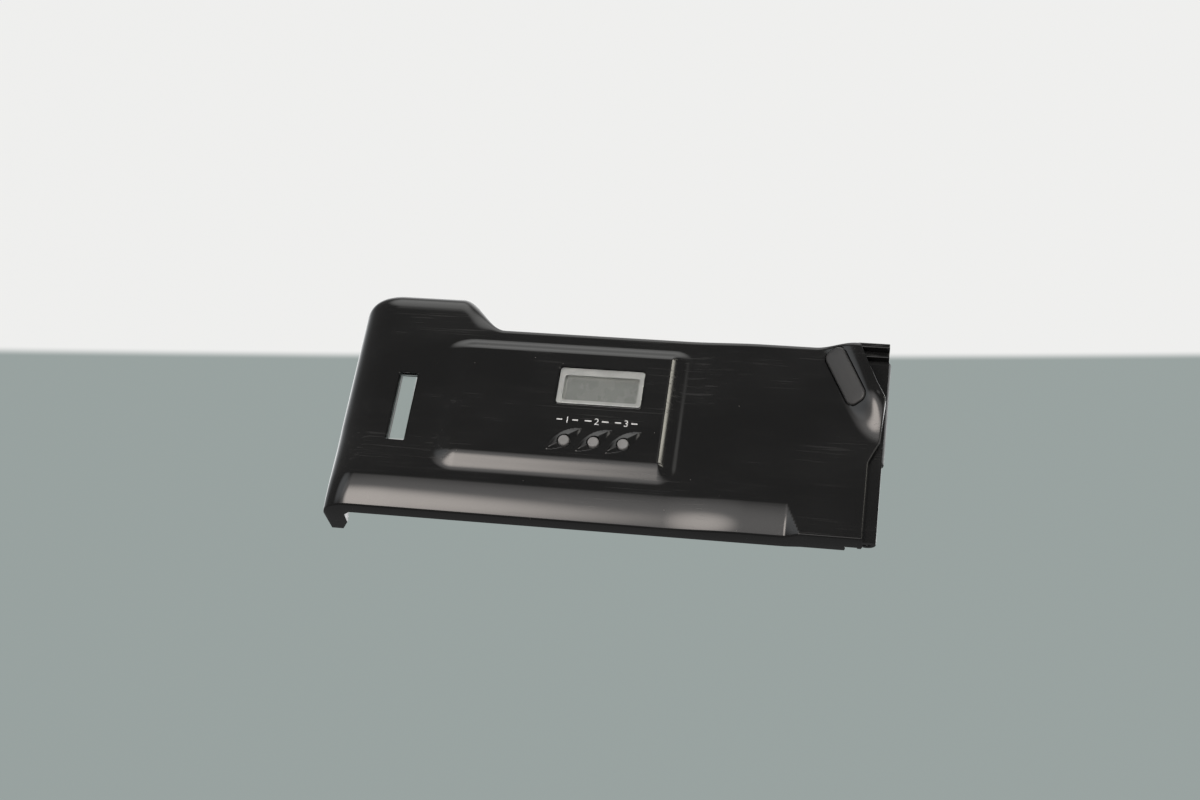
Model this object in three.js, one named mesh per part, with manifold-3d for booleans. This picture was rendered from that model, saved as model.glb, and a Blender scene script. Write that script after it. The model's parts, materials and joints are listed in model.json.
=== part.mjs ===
// Hinged back door of a 35 mm film camera with a built-in quartz timer (data back).
// Millimetres. The outer face looks towards -Y, the film side towards +Y, +Z is up along the door.
// The origin is on the hinge axis, near the middle of the door's height.
import * as THREE from 'three';
import { mergeVertices } from 'three/addons/utils/BufferGeometryUtils.js';
import Module from 'manifold-3d';

const wasm = await Module();
wasm.setup();

// ---------------------------------------------------------------- driving dimensions
const GAP = 0.3; // clearance between pieces that touch or slide

// cover
const DOOR_LEFT = -139.9; // outer face of the latch wall
const DOOR_RIGHT = 2.25; // outer edge of the hinge flange
const HEIGHT = 53.55; // between the two long edges
const BOTTOM_Z = -25.6;
const TOP_Z = BOTTOM_Z + HEIGHT;
const BUMP_RISE = 11; // hump over the cassette bay, above the top edge
const BUMP_FOOT_X = DOOR_LEFT + 41.5;
const BUMP_SLOPE_WIDTH = 13.5;
const FACE_Y = -4.6; // outer face around the raised panel
const WALL = 1.6;
const SIDE_WALL = 4.9; // latch wall at its tip
const SIDE_TAPER = 1.2; // how far the latch wall leans in at the bottom
const SIDE_RADIUS = 12.5;
const SIDE_TIGHTENING = 4.5; // the roll into the latch wall is tighter at the bottom
const SIDE_TIP_Y = 12.4;
const TOP_RADIUS = 1.5;
const BUMP_RADIUS = 6.5;
const CORNER_POWER = 2.6; // how square the rolled corner is
const RIM_Y = 1.95;
const HINGE_RIM_Y = 1.5; // the rim is lower where the skirt has ended
const CORNER_RIM_Y = 0;
const HINGE_RISE = 0.9; // the face comes forward towards the hinge
const RISE_FROM = -50;
const RISE_TO = -30;

// raised data panel
const PANEL_HEIGHT = 1.5;
const PANEL = { left: DOOR_LEFT + 27.2, right: -52.8, bottom: BOTTOM_Z + 10.6, top: TOP_Z - 3.65 };
const PANEL_SLOPE = 3.7;
const PANEL_LOW_SLOPE = 6; // wider slopes along the bottom and at the latch end
const PANEL_LEFT_SLOPE = 8;
const PANEL_FILLET = 5.9; // soft fillet after the crisp right edge

// skirt along the bottom edge
const SKIRT_HEIGHT = 8.3;
const SKIRT_DEPTH = 2.1;
const SKIRT_CREASE = 0.35; // how much of its depth the skirt gains at an even slope
const SKIRT_END_X = -19.75;
const SKIRT_FACET = 3.7;

// thumb rest
const THUMB_RISE = 3.6;
const THUMB_LOW_Z = TOP_Z - 28.75;
const THUMB_PAD = { x: -8.3, z: TOP_Z - 9.3, length: 16.6, width: 5.6, corner: 2,
  thickness: 1.1, proud: 0.5 };
const THUMB_AXIS = THREE.MathUtils.degToRad(27.7); // pad axis from the vertical
const THUMB_TILT = THREE.MathUtils.degToRad(28); // pad face from the door's face

// hinge
const FLANGE_Y = -3.9;
const BARREL_RADIUS = 2.7;
const BARREL = { bottom: TOP_Z - 30.45, top: TOP_Z - 1.65 };
const PIN_RADIUS = 1;
const PIN_TRAVEL = 3.5;
const LUG_RADIUS = 2.2;
const LUG = { bottom: BOTTOM_Z + 1.4, height: 2.2 };

// timer
const WINDOW = { x: -70.2, z: 11.3, width: 22.1, height: 10.5, thickness: 0.7 };
const LIP = 0.5;
const CASSETTE_WINDOW = { x: DOOR_LEFT + 18.2, z: 3, width: 5, height: 19.8 };
const BUTTON_PITCH = 7.6;
const BUTTON = { x: -69.75, z: -4.85, radius: 1.45, proud: 0.6, flange: 0.6, travel: 0.5 };
const LEAF = { length: 10.5, width: 4.1, height: 0.8, lift: 0.6, angle: THREE.MathUtils.degToRad(38) };
const LCD_THICKNESS = 1.2;
const CELL_RADIUS = 10;
const CELL_LID = 2; // how far the battery cover reaches past the cell
const CELL = { x: -14.5 - CELL_LID - CELL_RADIUS, z: 0, radius: CELL_RADIUS, thickness: 1.6 };
const BOARD = { left: PANEL.left + 6.7, right: CELL.x - CELL.radius - 5, bottom: -13, top: 19, y: -1.9,
  thickness: 0.8 };

// film side
const PLATE = { left: DOOR_LEFT + 9.7, right: -6, bottom: BOTTOM_Z + 3.8, top: TOP_Z - 2.95, y: -0.6,
  thickness: 0.8 };
const PRESSURE = { left: DOOR_LEFT + 35.9, width: 54.5, half: 17, z: 0.5, thickness: 1, travel: 1.2 };
const PRESSURE_RIGHT = PRESSURE.left + PRESSURE.width;
const IMPRINT = { x: PRESSURE_RIGHT - 8.5, z: -9.5, width: 5, height: 4 };
const EAR = { length: 4.4, width: 6, inset: 4 };
const GUIDE_PIN_RADIUS = 0.8;
const ROLLER = { x: PRESSURE_RIGHT + 5.5, y: 3.4, radius: 2, half: 17 };
const SHAFT_RADIUS = 0.6;
const BRACKET_THICKNESS = 1;
const SCREW = { head: 1.8, headHeight: 0.7, shank: 0.8, length: 2.9, recess: 0.35 };
const BOSS_RADIUS = 2.1;
const SCREW_LOW = BOTTOM_Z + 7.1;
const SCREW_HIGH = TOP_Z - 6.1;
const SCREW_PLACES = [[DOOR_LEFT + 26.9, SCREW_LOW], [DOOR_LEFT + 26.9, TOP_Z + 2.05], [-80, SCREW_HIGH],
  [-80, SCREW_LOW], [-38, SCREW_HIGH], [-11, SCREW_LOW]];

const PLATE_BACK = PLATE.y + PLATE.thickness; // film-side face of the inner plate
const ON_PLATE = PLATE_BACK + GAP;
const PRESSURE_Y = ON_PLATE + PRESSURE.travel + 0.5;
const PANEL_FACE = FACE_Y - PANEL_HEIGHT;

// ---------------------------------------------------------------- finishes
const finish = (color, roughness, metalness = 0) =>
  new THREE.MeshStandardMaterial({ color, roughness, metalness });
const glossBlack = finish(0x0b0b0c, 0.12);
const mattBlack = finish(0x18181a, 0.55);
const blackRubber = finish(0x2c2c2d, 0.7);
const blackFoam = finish(0x141414, 0.95);
const lightGrey = finish(0xb8b9b4, 0.4);
const clearPlastic = finish(0xd4d6d2, 0.08);
const liquidCrystal = finish(0x8d9188, 0.25);
const boardGreen = finish(0x2f5a34, 0.5);
const chipBlack = finish(0x1c1c1e, 0.6);
const darkSteel = finish(0x55575a, 0.4, 1);
const brightSteel = finish(0xb9bbbd, 0.3, 1);
const blackedPlate = finish(0x202123, 0.35, 0.6);
const gold = finish(0xc8a24a, 0.3, 1);

// ---------------------------------------------------------------- solids
const door = new THREE.Group();

function add(name, geometry, material, group = door) {
  const mesh = new THREE.Mesh(geometry, material);
  mesh.name = name;
  group.add(mesh);
  return mesh;
}

function solid(geometry) {
  const bare = geometry.clone();
  bare.deleteAttribute('normal');
  bare.deleteAttribute('uv');
  const merged = mergeVertices(bare, 1e-4);
  return new wasm.Manifold(new wasm.Mesh({
    numProp: 3,
    vertProperties: new Float32Array(merged.attributes.position.array),
    triVerts: new Uint32Array(merged.index.array),
  }));
}

function geometryOf(body) {
  const mesh = body.getMesh();
  const geometry = new THREE.BufferGeometry();
  geometry.setAttribute('position', new THREE.BufferAttribute(new Float32Array(mesh.vertProperties), 3));
  geometry.setIndex(new THREE.BufferAttribute(new Uint32Array(mesh.triVerts), 1));
  geometry.computeVertexNormals();
  return geometry;
}

const join = (...parts) => parts.map(solid).reduce((whole, part) => whole.add(part));
const cut = (whole, ...tools) => tools.map(solid).reduce((left, tool) => left.subtract(tool), whole);

function box(x0, x1, y0, y1, z0, z1) {
  const geometry = new THREE.BoxGeometry(x1 - x0, y1 - y0, z1 - z0);
  return geometry.translate((x0 + x1) / 2, (y0 + y1) / 2, (z0 + z1) / 2);
}

// a disc or pin along Y
function roundY(x, z, radius, y0, y1, segments = 24) {
  const geometry = new THREE.CylinderGeometry(radius, radius, y1 - y0, segments);
  return geometry.translate(x, (y0 + y1) / 2, z);
}

// a pin along Z
function roundZ(x, y, radius, z0, z1, segments = 24) {
  const geometry = new THREE.CylinderGeometry(radius, radius, z1 - z0, segments);
  return geometry.rotateX(Math.PI / 2).translate(x, y, (z0 + z1) / 2);
}

// an outline in X and Z, as thick as y0 to y1
function sheetXZ(shape, y0, y1, curveSegments = 6) {
  const geometry = new THREE.ExtrudeGeometry(shape, { depth: y1 - y0, bevelEnabled: false, curveSegments });
  return geometry.rotateX(Math.PI / 2).translate(0, y1, 0);
}

// an outline in X and Y, from z0 up to z1
function sheetXY(shape, z0, z1, curveSegments = 6) {
  const geometry = new THREE.ExtrudeGeometry(shape, { depth: z1 - z0, bevelEnabled: false, curveSegments });
  return geometry.translate(0, 0, z0);
}

const polygon = (points) => new THREE.Shape(points.map(([a, b]) => new THREE.Vector2(a, b)));

function roundedRectangle(x, z, width, height, radius) {
  const shape = new THREE.Shape();
  const right = x + width / 2;
  const left = x - width / 2;
  const top = z + height / 2;
  const bottom = z - height / 2;
  shape.absarc(right - radius, top - radius, radius, 0, Math.PI / 2);
  shape.absarc(left + radius, top - radius, radius, Math.PI / 2, Math.PI);
  shape.absarc(left + radius, bottom + radius, radius, Math.PI, 1.5 * Math.PI);
  shape.absarc(right - radius, bottom + radius, radius, 1.5 * Math.PI, 2 * Math.PI);
  return shape;
}

// a leaf spring: a thin strip whose outline bows up between its two flat ends
function bowedStrip(x0, x1, y, rise, thickness, steps = 10) {
  const lower = [];
  const upper = [];
  for (let i = 0; i <= steps; i += 1) {
    const t = i / steps;
    const lift = rise * Math.sin(Math.PI * t) ** 2;
    lower.push([x0 + (x1 - x0) * t, y + lift]);
    upper.unshift([x0 + (x1 - x0) * t, y + lift + thickness]);
  }
  return polygon([...lower, ...upper]);
}

// ---------------------------------------------------------------- cover surface
const clamp = (t) => Math.min(1, Math.max(0, t));
const smooth = (t) => clamp(t) ** 2 * (3 - 2 * clamp(t));
const blend = (a, b, t) => a + (b - a) * t;

function polyline(points, at) {
  const next = points.findIndex(([position]) => position >= at);
  if (next === 0) return points[0][1];
  if (next < 0) return points[points.length - 1][1];
  const [p0, v0] = points[next - 1];
  const [p1, v1] = points[next];
  return blend(v0, v1, (at - p0) / (p1 - p0));
}

// where the main shell stops and the lower hinge flange begins, by height
const HINGE_LINE = [[BOTTOM_Z, -1], [TOP_Z - 32.45, -1], [TOP_Z - 26.95, 1.4],
  [TOP_Z - 15.75, DOOR_RIGHT - 0.1], [TOP_Z - 11.25, -0.3], [TOP_Z, -5.4]];
const hingeLine = (z) => polyline(HINGE_LINE, z);

const bumpShare = (x) => smooth((BUMP_FOOT_X - x) / BUMP_SLOPE_WIDTH);
const topRadius = (x) => blend(TOP_RADIUS, BUMP_RADIUS, bumpShare(x));
const flatTop = (x) => TOP_Z + BUMP_RISE * bumpShare(x);

// insets of a surface inside the outer one: towards the face, the edges and the latch wall
const OUTER = { face: 0, edge: 0, side: 0 };
const INNER = { face: WALL, edge: WALL, side: SIDE_WALL };

const leftEdge = (z) => DOOR_LEFT + SIDE_TAPER * smooth(z / BOTTOM_Z);
const sideTightening = (z) => SIDE_TIGHTENING * smooth((z + 2) / (BOTTOM_Z + 2));
const sideRadius = (z, inset) => SIDE_RADIUS - sideTightening(z) - (inset.face + inset.edge) / 1.25;
const edgeRadius = (x, inset) => Math.max(topRadius(x) - inset.edge, GAP);
const sideShare = (x, z, inset) => clamp(1 - (x - leftEdge(z) - inset.side) / sideRadius(z, inset));

function topEdge(x, inset) {
  const side = sideShare(x, TOP_Z, inset);
  const height = (1 - side ** CORNER_POWER) ** (1 / CORNER_POWER);
  return flatTop(x) - inset.edge - edgeRadius(x, inset) * (1 - height);
}

function edgeRoll(x, z, inset) {
  const slope = BUMP_RISE * 1.5 / BUMP_SLOPE_WIDTH * 4 * bumpShare(x) * (1 - bumpShare(x));
  const below = (flatTop(x) - inset.edge - z) * Math.cos(Math.atan(slope));
  const side = sideShare(x, z, inset);
  const top = clamp(1 - below / edgeRadius(x, inset));
  if (side + top === 0) return 0;
  const share = Math.min(1, (side ** CORNER_POWER + top ** CORNER_POWER) ** (1 / CORNER_POWER));
  const sideWeight = side ** 2 / (side ** 2 + top ** 2);
  const radius = blend(edgeRadius(x, inset), sideRadius(z, inset), sideWeight);
  return radius * (1 - Math.sqrt(1 - share ** 2));
}

// the slopes of the panel run into each other round its corners; only the right edge is crisp
function panelRelief(x, z) {
  const left = clamp((PANEL.left + PANEL_LEFT_SLOPE - x) / PANEL_LEFT_SLOPE);
  const right = clamp((x - PANEL.right) / PANEL_FILLET);
  const low = (PANEL.bottom + PANEL_LOW_SLOPE - z) / PANEL_LOW_SLOPE;
  const end = clamp(Math.max(low, (z - PANEL.top + PANEL_SLOPE) / PANEL_SLOPE));
  const down = Math.min(1, Math.hypot(left, right, end));
  const crisp = right ** 2 / (right ** 2 + end ** 2 + 1e-9);
  return PANEL_HEIGHT * blend(smooth(1 - down), (1 - down) ** 2, crisp);
}

function skirtDepth(x, z) {
  const down = clamp((BOTTOM_Z + SKIRT_HEIGHT - z) / SKIRT_HEIGHT);
  const facet = clamp(1 - (x - SKIRT_END_X) / (SKIRT_FACET * down + 0.01));
  return SKIRT_DEPTH * blend(down ** 2, down, SKIRT_CREASE) * facet;
}

const thumbCrest = (z) => -6.3 + 0.47 * (TOP_Z - z) - 0.0045 * (TOP_Z - z) ** 2;
const thumbFoot = (z) => -16.7 + 0.464 * (TOP_Z - z);

function thumbRelief(x, z) {
  const rise = THUMB_RISE * smooth((z - THUMB_LOW_Z) / 15);
  const past = Math.max(0, x - thumbCrest(z)) / 4;
  return rise * smooth((x - thumbFoot(z)) / (thumbCrest(z) - thumbFoot(z))) * (1 - 0.3 * past ** 2);
}

function coverFront(x, z, inset) {
  const face = FACE_Y + inset.face - HINGE_RISE * smooth((x - RISE_FROM) / (RISE_TO - RISE_FROM));
  const skirt = skirtDepth(x, z);
  const roll = edgeRoll(x, z, inset) * (1 - skirt / sideRadius(z, inset));
  return face - panelRelief(x, z) - thumbRelief(x, z) + skirt + roll;
}

// columns that follow the features: round the corner, over the panel edges, then out to the hinge line
const ROLL_STEPS = 8;
const PANEL_STEPS = [0, 0.33, 0.67, 1];
const BUMP_COLUMNS = [-4, -1.5, 1].map((step) => BUMP_FOOT_X + step);
const MIDDLE_COLUMNS = [BUMP_FOOT_X - 21, BUMP_FOOT_X - 17,
  ...PANEL_STEPS.map((t) => PANEL.left + PANEL_LEFT_SLOPE * t), ...BUMP_COLUMNS, -84, -68, -56,
  ...PANEL_STEPS.map((t) => PANEL.right + PANEL_FILLET * t), -34];
const HINGE_COLUMNS = [0, 0.1, 0.2, 0.34, 0.46, 0.57, 0.68, 0.78, 0.87, 0.94, 1];
const ROWS = [0, 1.6, 3.2, 4.9, 6.6, SKIRT_HEIGHT, SKIRT_HEIGHT + 0.9].map((up) => BOTTOM_Z + up).concat(
  PANEL_STEPS.map((t) => PANEL.bottom + PANEL_LOW_SLOPE * t), [-5, 0, 5.5, 11, 16],
  PANEL_STEPS.map((t) => PANEL.top - PANEL_SLOPE * (1 - t)));
const UPPER_ROWS = [0.25, 0.5, 0.7, 0.85, 0.95, 1];

function columnX(column, z, inset) {
  if (column < ROLL_STEPS) {
    const turn = 1 - Math.cos(Math.PI / 2 * column / ROLL_STEPS);
    return leftEdge(z) + inset.side + sideRadius(z, inset) * turn;
  }
  const middle = column - ROLL_STEPS;
  if (middle < MIDDLE_COLUMNS.length) return MIDDLE_COLUMNS[middle];
  const share = HINGE_COLUMNS[middle - MIDDLE_COLUMNS.length];
  return blend(SKIRT_END_X, hingeLine(z) - inset.edge, share);
}

// a closed body between the cover's front surface and the plane y = back
function coverBody(inset, back) {
  const columns = ROLL_STEPS + MIDDLE_COLUMNS.length + HINGE_COLUMNS.length;
  const rows = ROWS.length + UPPER_ROWS.length;
  const positions = [];
  const indices = [];
  for (const depth of ['front', 'back']) {
    for (let i = 0; i < columns; i += 1) {
      for (let j = 0; j < rows; j += 1) {
        let z = j < ROWS.length ? ROWS[j] : PANEL.top;
        let x = columnX(i, z, inset);
        if (j === 0) z += inset.edge;
        if (j >= ROWS.length) {
          z = blend(PANEL.top, topEdge(x, inset), UPPER_ROWS[j - ROWS.length]);
          x = columnX(i, Math.min(z, TOP_Z), inset);
        }
        positions.push(x, depth === 'front' ? coverFront(x, z, inset) : back, z);
      }
    }
  }
  const at = (i, j, layer) => layer * columns * rows + i * rows + j;
  const quad = (a, b, c, d) => indices.push(a, b, c, a, c, d);
  for (let i = 0; i + 1 < columns; i += 1) {
    for (let j = 0; j + 1 < rows; j += 1) {
      quad(at(i, j, 0), at(i + 1, j, 0), at(i + 1, j + 1, 0), at(i, j + 1, 0));
      quad(at(i, j + 1, 1), at(i + 1, j + 1, 1), at(i + 1, j, 1), at(i, j, 1));
    }
    quad(at(i, 0, 1), at(i + 1, 0, 1), at(i + 1, 0, 0), at(i, 0, 0));
    quad(at(i, rows - 1, 0), at(i + 1, rows - 1, 0), at(i + 1, rows - 1, 1), at(i, rows - 1, 1));
  }
  for (let j = 0; j + 1 < rows; j += 1) {
    quad(at(0, j, 0), at(0, j + 1, 0), at(0, j + 1, 1), at(0, j, 1));
    quad(at(columns - 1, j, 1), at(columns - 1, j + 1, 1), at(columns - 1, j + 1, 0), at(columns - 1, j, 0));
  }
  const geometry = new THREE.BufferGeometry();
  geometry.setAttribute('position', new THREE.Float32BufferAttribute(positions, 3));
  geometry.setIndex(indices);
  return geometry;
}

// ---------------------------------------------------------------- outer cover
const buttonX = (index) => BUTTON.x + (index - 1) * BUTTON_PITCH;

// the pointed leaf round each button
function leafOutline(index) {
  const half = LEAF.length / 2;
  const bulge = LEAF.width / 2;
  const along = new THREE.Vector2(Math.cos(LEAF.angle), Math.sin(LEAF.angle));
  const across = new THREE.Vector2(-along.y, along.x);
  const centre = new THREE.Vector2(buttonX(index), BUTTON.z + LEAF.lift);
  const points = [];
  const steps = 10;
  for (const side of [1, -1]) {
    for (let i = 0; i < steps; i += 1) {
      const t = side * (1 - 2 * i / steps);
      const offset = side * bulge * (1 - t ** 2);
      points.push(centre.clone().addScaledVector(along, -t * half).addScaledVector(across, -offset));
    }
  }
  return new THREE.Shape(points.reverse());
}

// the thumb pad lies on the slope of the thumb rest
function thumbPad(grow, deep, high) {
  const { length, width, corner } = THUMB_PAD;
  const shape = roundedRectangle(0, 0, length + 2 * grow, width + 2 * grow, corner + grow);
  const geometry = sheetXY(shape, deep, high);
  const along = new THREE.Vector3(Math.sin(THUMB_AXIS), 0, -Math.cos(THUMB_AXIS));
  const across = new THREE.Vector3(Math.cos(THUMB_AXIS), 0, Math.sin(THUMB_AXIS));
  const outward = new THREE.Vector3(0, -Math.cos(THUMB_TILT), 0);
  outward.addScaledVector(across, -Math.sin(THUMB_TILT));
  const third = new THREE.Vector3().crossVectors(outward, along);
  const place = new THREE.Matrix4().makeBasis(along, third, outward);
  place.setPosition(THUMB_PAD.x, coverFront(THUMB_PAD.x, THUMB_PAD.z, OUTER), THUMB_PAD.z);
  return geometry.applyMatrix4(place);
}

// everything behind the rim, with the latch wall left standing
function behindRim() {
  const wall = DOOR_LEFT + SIDE_WALL;
  const far = SIDE_TIP_Y + 5;
  const rim = [[wall - 0.6, far], [wall - 0.6, SIDE_TIP_Y], [wall + 1.5, 8.2], [wall + 1.8, 3.6],
    [wall + 3.4, RIM_Y], [SKIRT_END_X, RIM_Y], [SKIRT_END_X + SKIRT_FACET, HINGE_RIM_Y], [-5.4, HINGE_RIM_Y],
    [-5, CORNER_RIM_Y], [30, CORNER_RIM_Y], [30, far]];
  return sheetXY(polygon(rim.reverse()), -60, 60);
}

function flange() {
  const inner = HINGE_LINE.map(([z, x]) => [x - WALL / 2, z]);
  const outline = [...inner.reverse(), [DOOR_RIGHT, BOTTOM_Z], [DOOR_RIGHT, TOP_Z]];
  return sheetXZ(polygon(outline), FLANGE_Y, FLANGE_Y + 1.4);
}

// two-step ledge that closes the corner above the hinge
const ledges = () => [[-8.3, 1.3, -5.9], [-6, 2.8, -5.4]].map(([front, height, left]) =>
  box(left, DOOR_RIGHT, front, FLANGE_Y + 1, TOP_Z - height, TOP_Z));

const lug = () => [
  roundZ(0, 0, LUG_RADIUS, LUG.bottom, LUG.bottom + LUG.height),
  box(-LUG_RADIUS, LUG_RADIUS, FLANGE_Y + 0.4, 0, LUG.bottom, LUG.bottom + LUG.height),
];

function outerCover() {
  let cover = solid(coverBody(OUTER, SIDE_TIP_Y)).subtract(solid(coverBody(INNER, SIDE_TIP_Y + 3)));
  cover = cut(cover, behindRim());
  cover = cover.add(join(flange(), ...ledges(), ...lug()));
  const leaves = [0, 1, 2].map((i) => sheetXZ(leafOutline(i), PANEL_FACE - LEAF.height, PANEL_FACE + 0.5, 1));
  const bosses = SCREW_PLACES.map(([x, z]) =>
    roundY(x, z, BOSS_RADIUS, coverFront(x, z, INNER) - 0.6, PLATE.y - GAP, 12));
  cover = cover.add(join(...leaves, ...bosses));
  const { x, z, width, height } = WINDOW;
  const seat = PANEL_FACE + WALL - LIP;
  return cut(
    cover,
    sheetXZ(roundedRectangle(x, z, width + 2 * GAP, height + 2 * GAP, 0.9), PANEL_FACE - 3, seat, 3),
    sheetXZ(roundedRectangle(x, z, width - 2, height - 2, 0.6), PANEL_FACE - 3, 0, 3),
    box(...spread(CASSETTE_WINDOW.x, CASSETTE_WINDOW.width), FACE_Y - 4, 3,
      ...spread(CASSETTE_WINDOW.z, CASSETTE_WINDOW.height)),
    ...[0, 1, 2].map((i) => roundY(buttonX(i), BUTTON.z, BUTTON.radius + GAP, -9, 0, 16)),
    ...SCREW_PLACES.map(([sx, sz]) => roundY(sx, sz, SCREW.shank + GAP, -2.9, 2, 10)),
    thumbPad(GAP, THUMB_PAD.proud - THUMB_PAD.thickness - GAP, 4),
    roundZ(0, 0, BARREL_RADIUS + GAP, BARREL.bottom - GAP, BARREL.top + GAP, 20),
    roundZ(0, 0, PIN_RADIUS + GAP, BOTTOM_Z - 5, BOTTOM_Z + 5, 16),
    roundZ(0, 0, PIN_RADIUS + 2 * GAP, BARREL.top - 1, TOP_Z + 5, 16),
    box(-5.15, -2.25, -0.5, 9, BOTTOM_Z - 5, BOTTOM_Z + 4.75),
  );
}

function spread(centre, size) {
  return [centre - size / 2, centre + size / 2];
}

add('outer_cover', geometryOf(outerCover()), glossBlack);

// ---------------------------------------------------------------- windows and thumb pad
const windowSeat = PANEL_FACE + WALL - LIP;
add('display_window', sheetXZ(
  roundedRectangle(WINDOW.x, WINDOW.z, WINDOW.width, WINDOW.height, 0.7),
  windowSeat - GAP - WINDOW.thickness, windowSeat - GAP, 3), clearPlastic);

const coverInner = FACE_Y + WALL;
const paneX = spread(CASSETTE_WINDOW.x, CASSETTE_WINDOW.width - 2 * GAP);
const paneZ = spread(CASSETTE_WINDOW.z, CASSETTE_WINDOW.height - 2 * GAP);
const PANE_FLANGE = 1.4;
const paneBack = coverInner + 3 * GAP;
const pane = join(
  box(paneX[0], paneX[1], FACE_Y + 1, paneBack, paneZ[0], paneZ[1]),
  box(paneX[0] - PANE_FLANGE, paneX[1] + PANE_FLANGE, coverInner + GAP, paneBack,
    paneZ[0] - PANE_FLANGE, paneZ[1] + PANE_FLANGE),
);
add('cassette_window', geometryOf(pane), clearPlastic);

const sealGrow = 2 * (PANE_FLANGE + GAP);
const paneWidth = CASSETTE_WINDOW.width - 2 * GAP + sealGrow;
const paneHeight = CASSETTE_WINDOW.height - 2 * GAP + sealGrow;
const sealOutline = roundedRectangle(CASSETTE_WINDOW.x, CASSETTE_WINDOW.z, paneWidth + 2, paneHeight + 2, 1);
sealOutline.holes.push(roundedRectangle(CASSETTE_WINDOW.x, CASSETTE_WINDOW.z, paneWidth, paneHeight, 0.3));
add('cassette_window_seal', sheetXZ(sealOutline, coverInner + GAP, paneBack, 2), blackFoam);

add('thumb_pad', thumbPad(0, THUMB_PAD.proud - THUMB_PAD.thickness, THUMB_PAD.proud), blackRubber);

// ---------------------------------------------------------------- timer module
const timer = new THREE.Group();
door.add(timer);
const lcdFront = PANEL_FACE + WALL + GAP;
const lcdBack = lcdFront + LCD_THICKNESS;
const elastomer = { front: lcdBack + GAP, back: BOARD.y - GAP };
const lcd = { width: WINDOW.width - 1.5, height: WINDOW.height - 0.9 };

add('lcd_panel', box(...spread(WINDOW.x, lcd.width), lcdFront, lcdBack, ...spread(WINDOW.z, lcd.height)),
  liquidCrystal, timer);

const holderOutline = roundedRectangle(WINDOW.x, WINDOW.z, lcd.width + 2.8, lcd.height + 2.8, 0.8);
holderOutline.holes.push(
  roundedRectangle(WINDOW.x, WINDOW.z, lcd.width + 2 * GAP, lcd.height + 2 * GAP, 0.2));
add('lcd_holder', sheetXZ(holderOutline, lcdFront, elastomer.back, 2), mattBlack, timer);

for (const [side, sign] of [['upper', 1], ['lower', -1]]) {
  const z = WINDOW.z + sign * (lcd.height / 2 - 1);
  add(`elastomer_strip_${side}`, box(...spread(WINDOW.x, lcd.width - 2), elastomer.front, elastomer.back,
    ...spread(z, 1.2)), blackRubber, timer);
}

const board = box(BOARD.left, BOARD.right, BOARD.y, BOARD.y + BOARD.thickness, BOARD.bottom, BOARD.top);
const imprintCut = (grow) => box(...spread(IMPRINT.x, IMPRINT.width + grow), -9, 9,
  ...spread(IMPRINT.z, IMPRINT.height + grow));
add('circuit_board', geometryOf(cut(solid(board), imprintCut(1 + 2 * GAP))), boardGreen, timer);

const onBoard = BOARD.y - GAP;
add('timer_chip', box(BOARD.left + 7, BOARD.left + 15, onBoard - 0.9, onBoard, 5, 13), chipBlack, timer);
add('quartz_crystal', new THREE.CylinderGeometry(0.9, 0.9, 6, 12).rotateZ(Math.PI / 2)
  .translate(BOARD.left + 11, onBoard - 0.9, -1), brightSteel, timer);

// turned button: domed cap, shank through the cover and a flange that keeps it in
const flangeFront = PANEL_FACE + WALL + GAP;
const flangeBack = flangeFront + BUTTON.flange;
const flangeRadius = BUTTON.radius + 0.8;
add('button_mat', box(buttonX(0) - flangeRadius - GAP, buttonX(2) + flangeRadius + GAP,
  flangeBack + BUTTON.travel + GAP, onBoard, ...spread(BUTTON.z, 2 * flangeRadius + GAP)), blackRubber, timer);

function button(index) {
  const front = PANEL_FACE - BUTTON.proud;
  const profile = [[0, front], [BUTTON.radius * 0.72, front + 0.06], [BUTTON.radius, front + 0.4],
    [BUTTON.radius, flangeFront], [flangeRadius, flangeFront], [flangeRadius, flangeBack], [0, flangeBack]];
  const points = profile.map(([radius, y]) => new THREE.Vector2(radius, y));
  return new THREE.LatheGeometry(points, 16).translate(buttonX(index), 0, BUTTON.z);
}

['mode_button', 'select_button', 'adjust_button'].forEach((name, index) => {
  add(name, button(index), lightGrey, timer);
});

const headDepth = [coverInner + GAP, PLATE_BACK + 0.1];
const imprintHead = box(...spread(IMPRINT.x, IMPRINT.width), ...headDepth, ...spread(IMPRINT.z, IMPRINT.height));
add('imprint_head', imprintHead, mattBlack, timer);

const cellBack = PLATE.y - 2 * GAP;
const cellFront = cellBack - CELL.thickness;
add('battery_cell', roundY(CELL.x, CELL.z, CELL.radius, cellFront, cellBack, 32), brightSteel, timer);
const minusContact = roundY(CELL.x, CELL.z, CELL.radius * 0.6, cellFront - 2 * GAP, cellFront - GAP, 16);
add('battery_contact_minus', minusContact, brightSteel, timer);
const contactRight = CELL.x - CELL.radius - GAP;
add('battery_contact_plus', box(contactRight - 0.5, contactRight, cellFront + 0.2, cellBack - 0.2, -3, 3),
  brightSteel, timer);

const plugRadius = CELL.radius + 0.5;
const coverTop = ON_PLATE + 0.9;
const lid = join(
  roundY(CELL.x, CELL.z, plugRadius, PLATE.y - GAP, ON_PLATE + 0.1, 32),
  roundY(CELL.x, CELL.z, CELL.radius + CELL_LID, ON_PLATE, coverTop, 32),
);
const coinSlot = box(...spread(CELL.x, 14), coverTop - 0.6, coverTop + 1, ...spread(CELL.z, 2));
add('battery_cover', geometryOf(cut(lid, coinSlot)), mattBlack, timer);

// ---------------------------------------------------------------- inner plate
const film = new THREE.Group();
door.add(film);
const LIGHT_TRAP = { left: BUMP_FOOT_X - 0.5, right: -21, height: 2, thickness: 0.8 };

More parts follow.
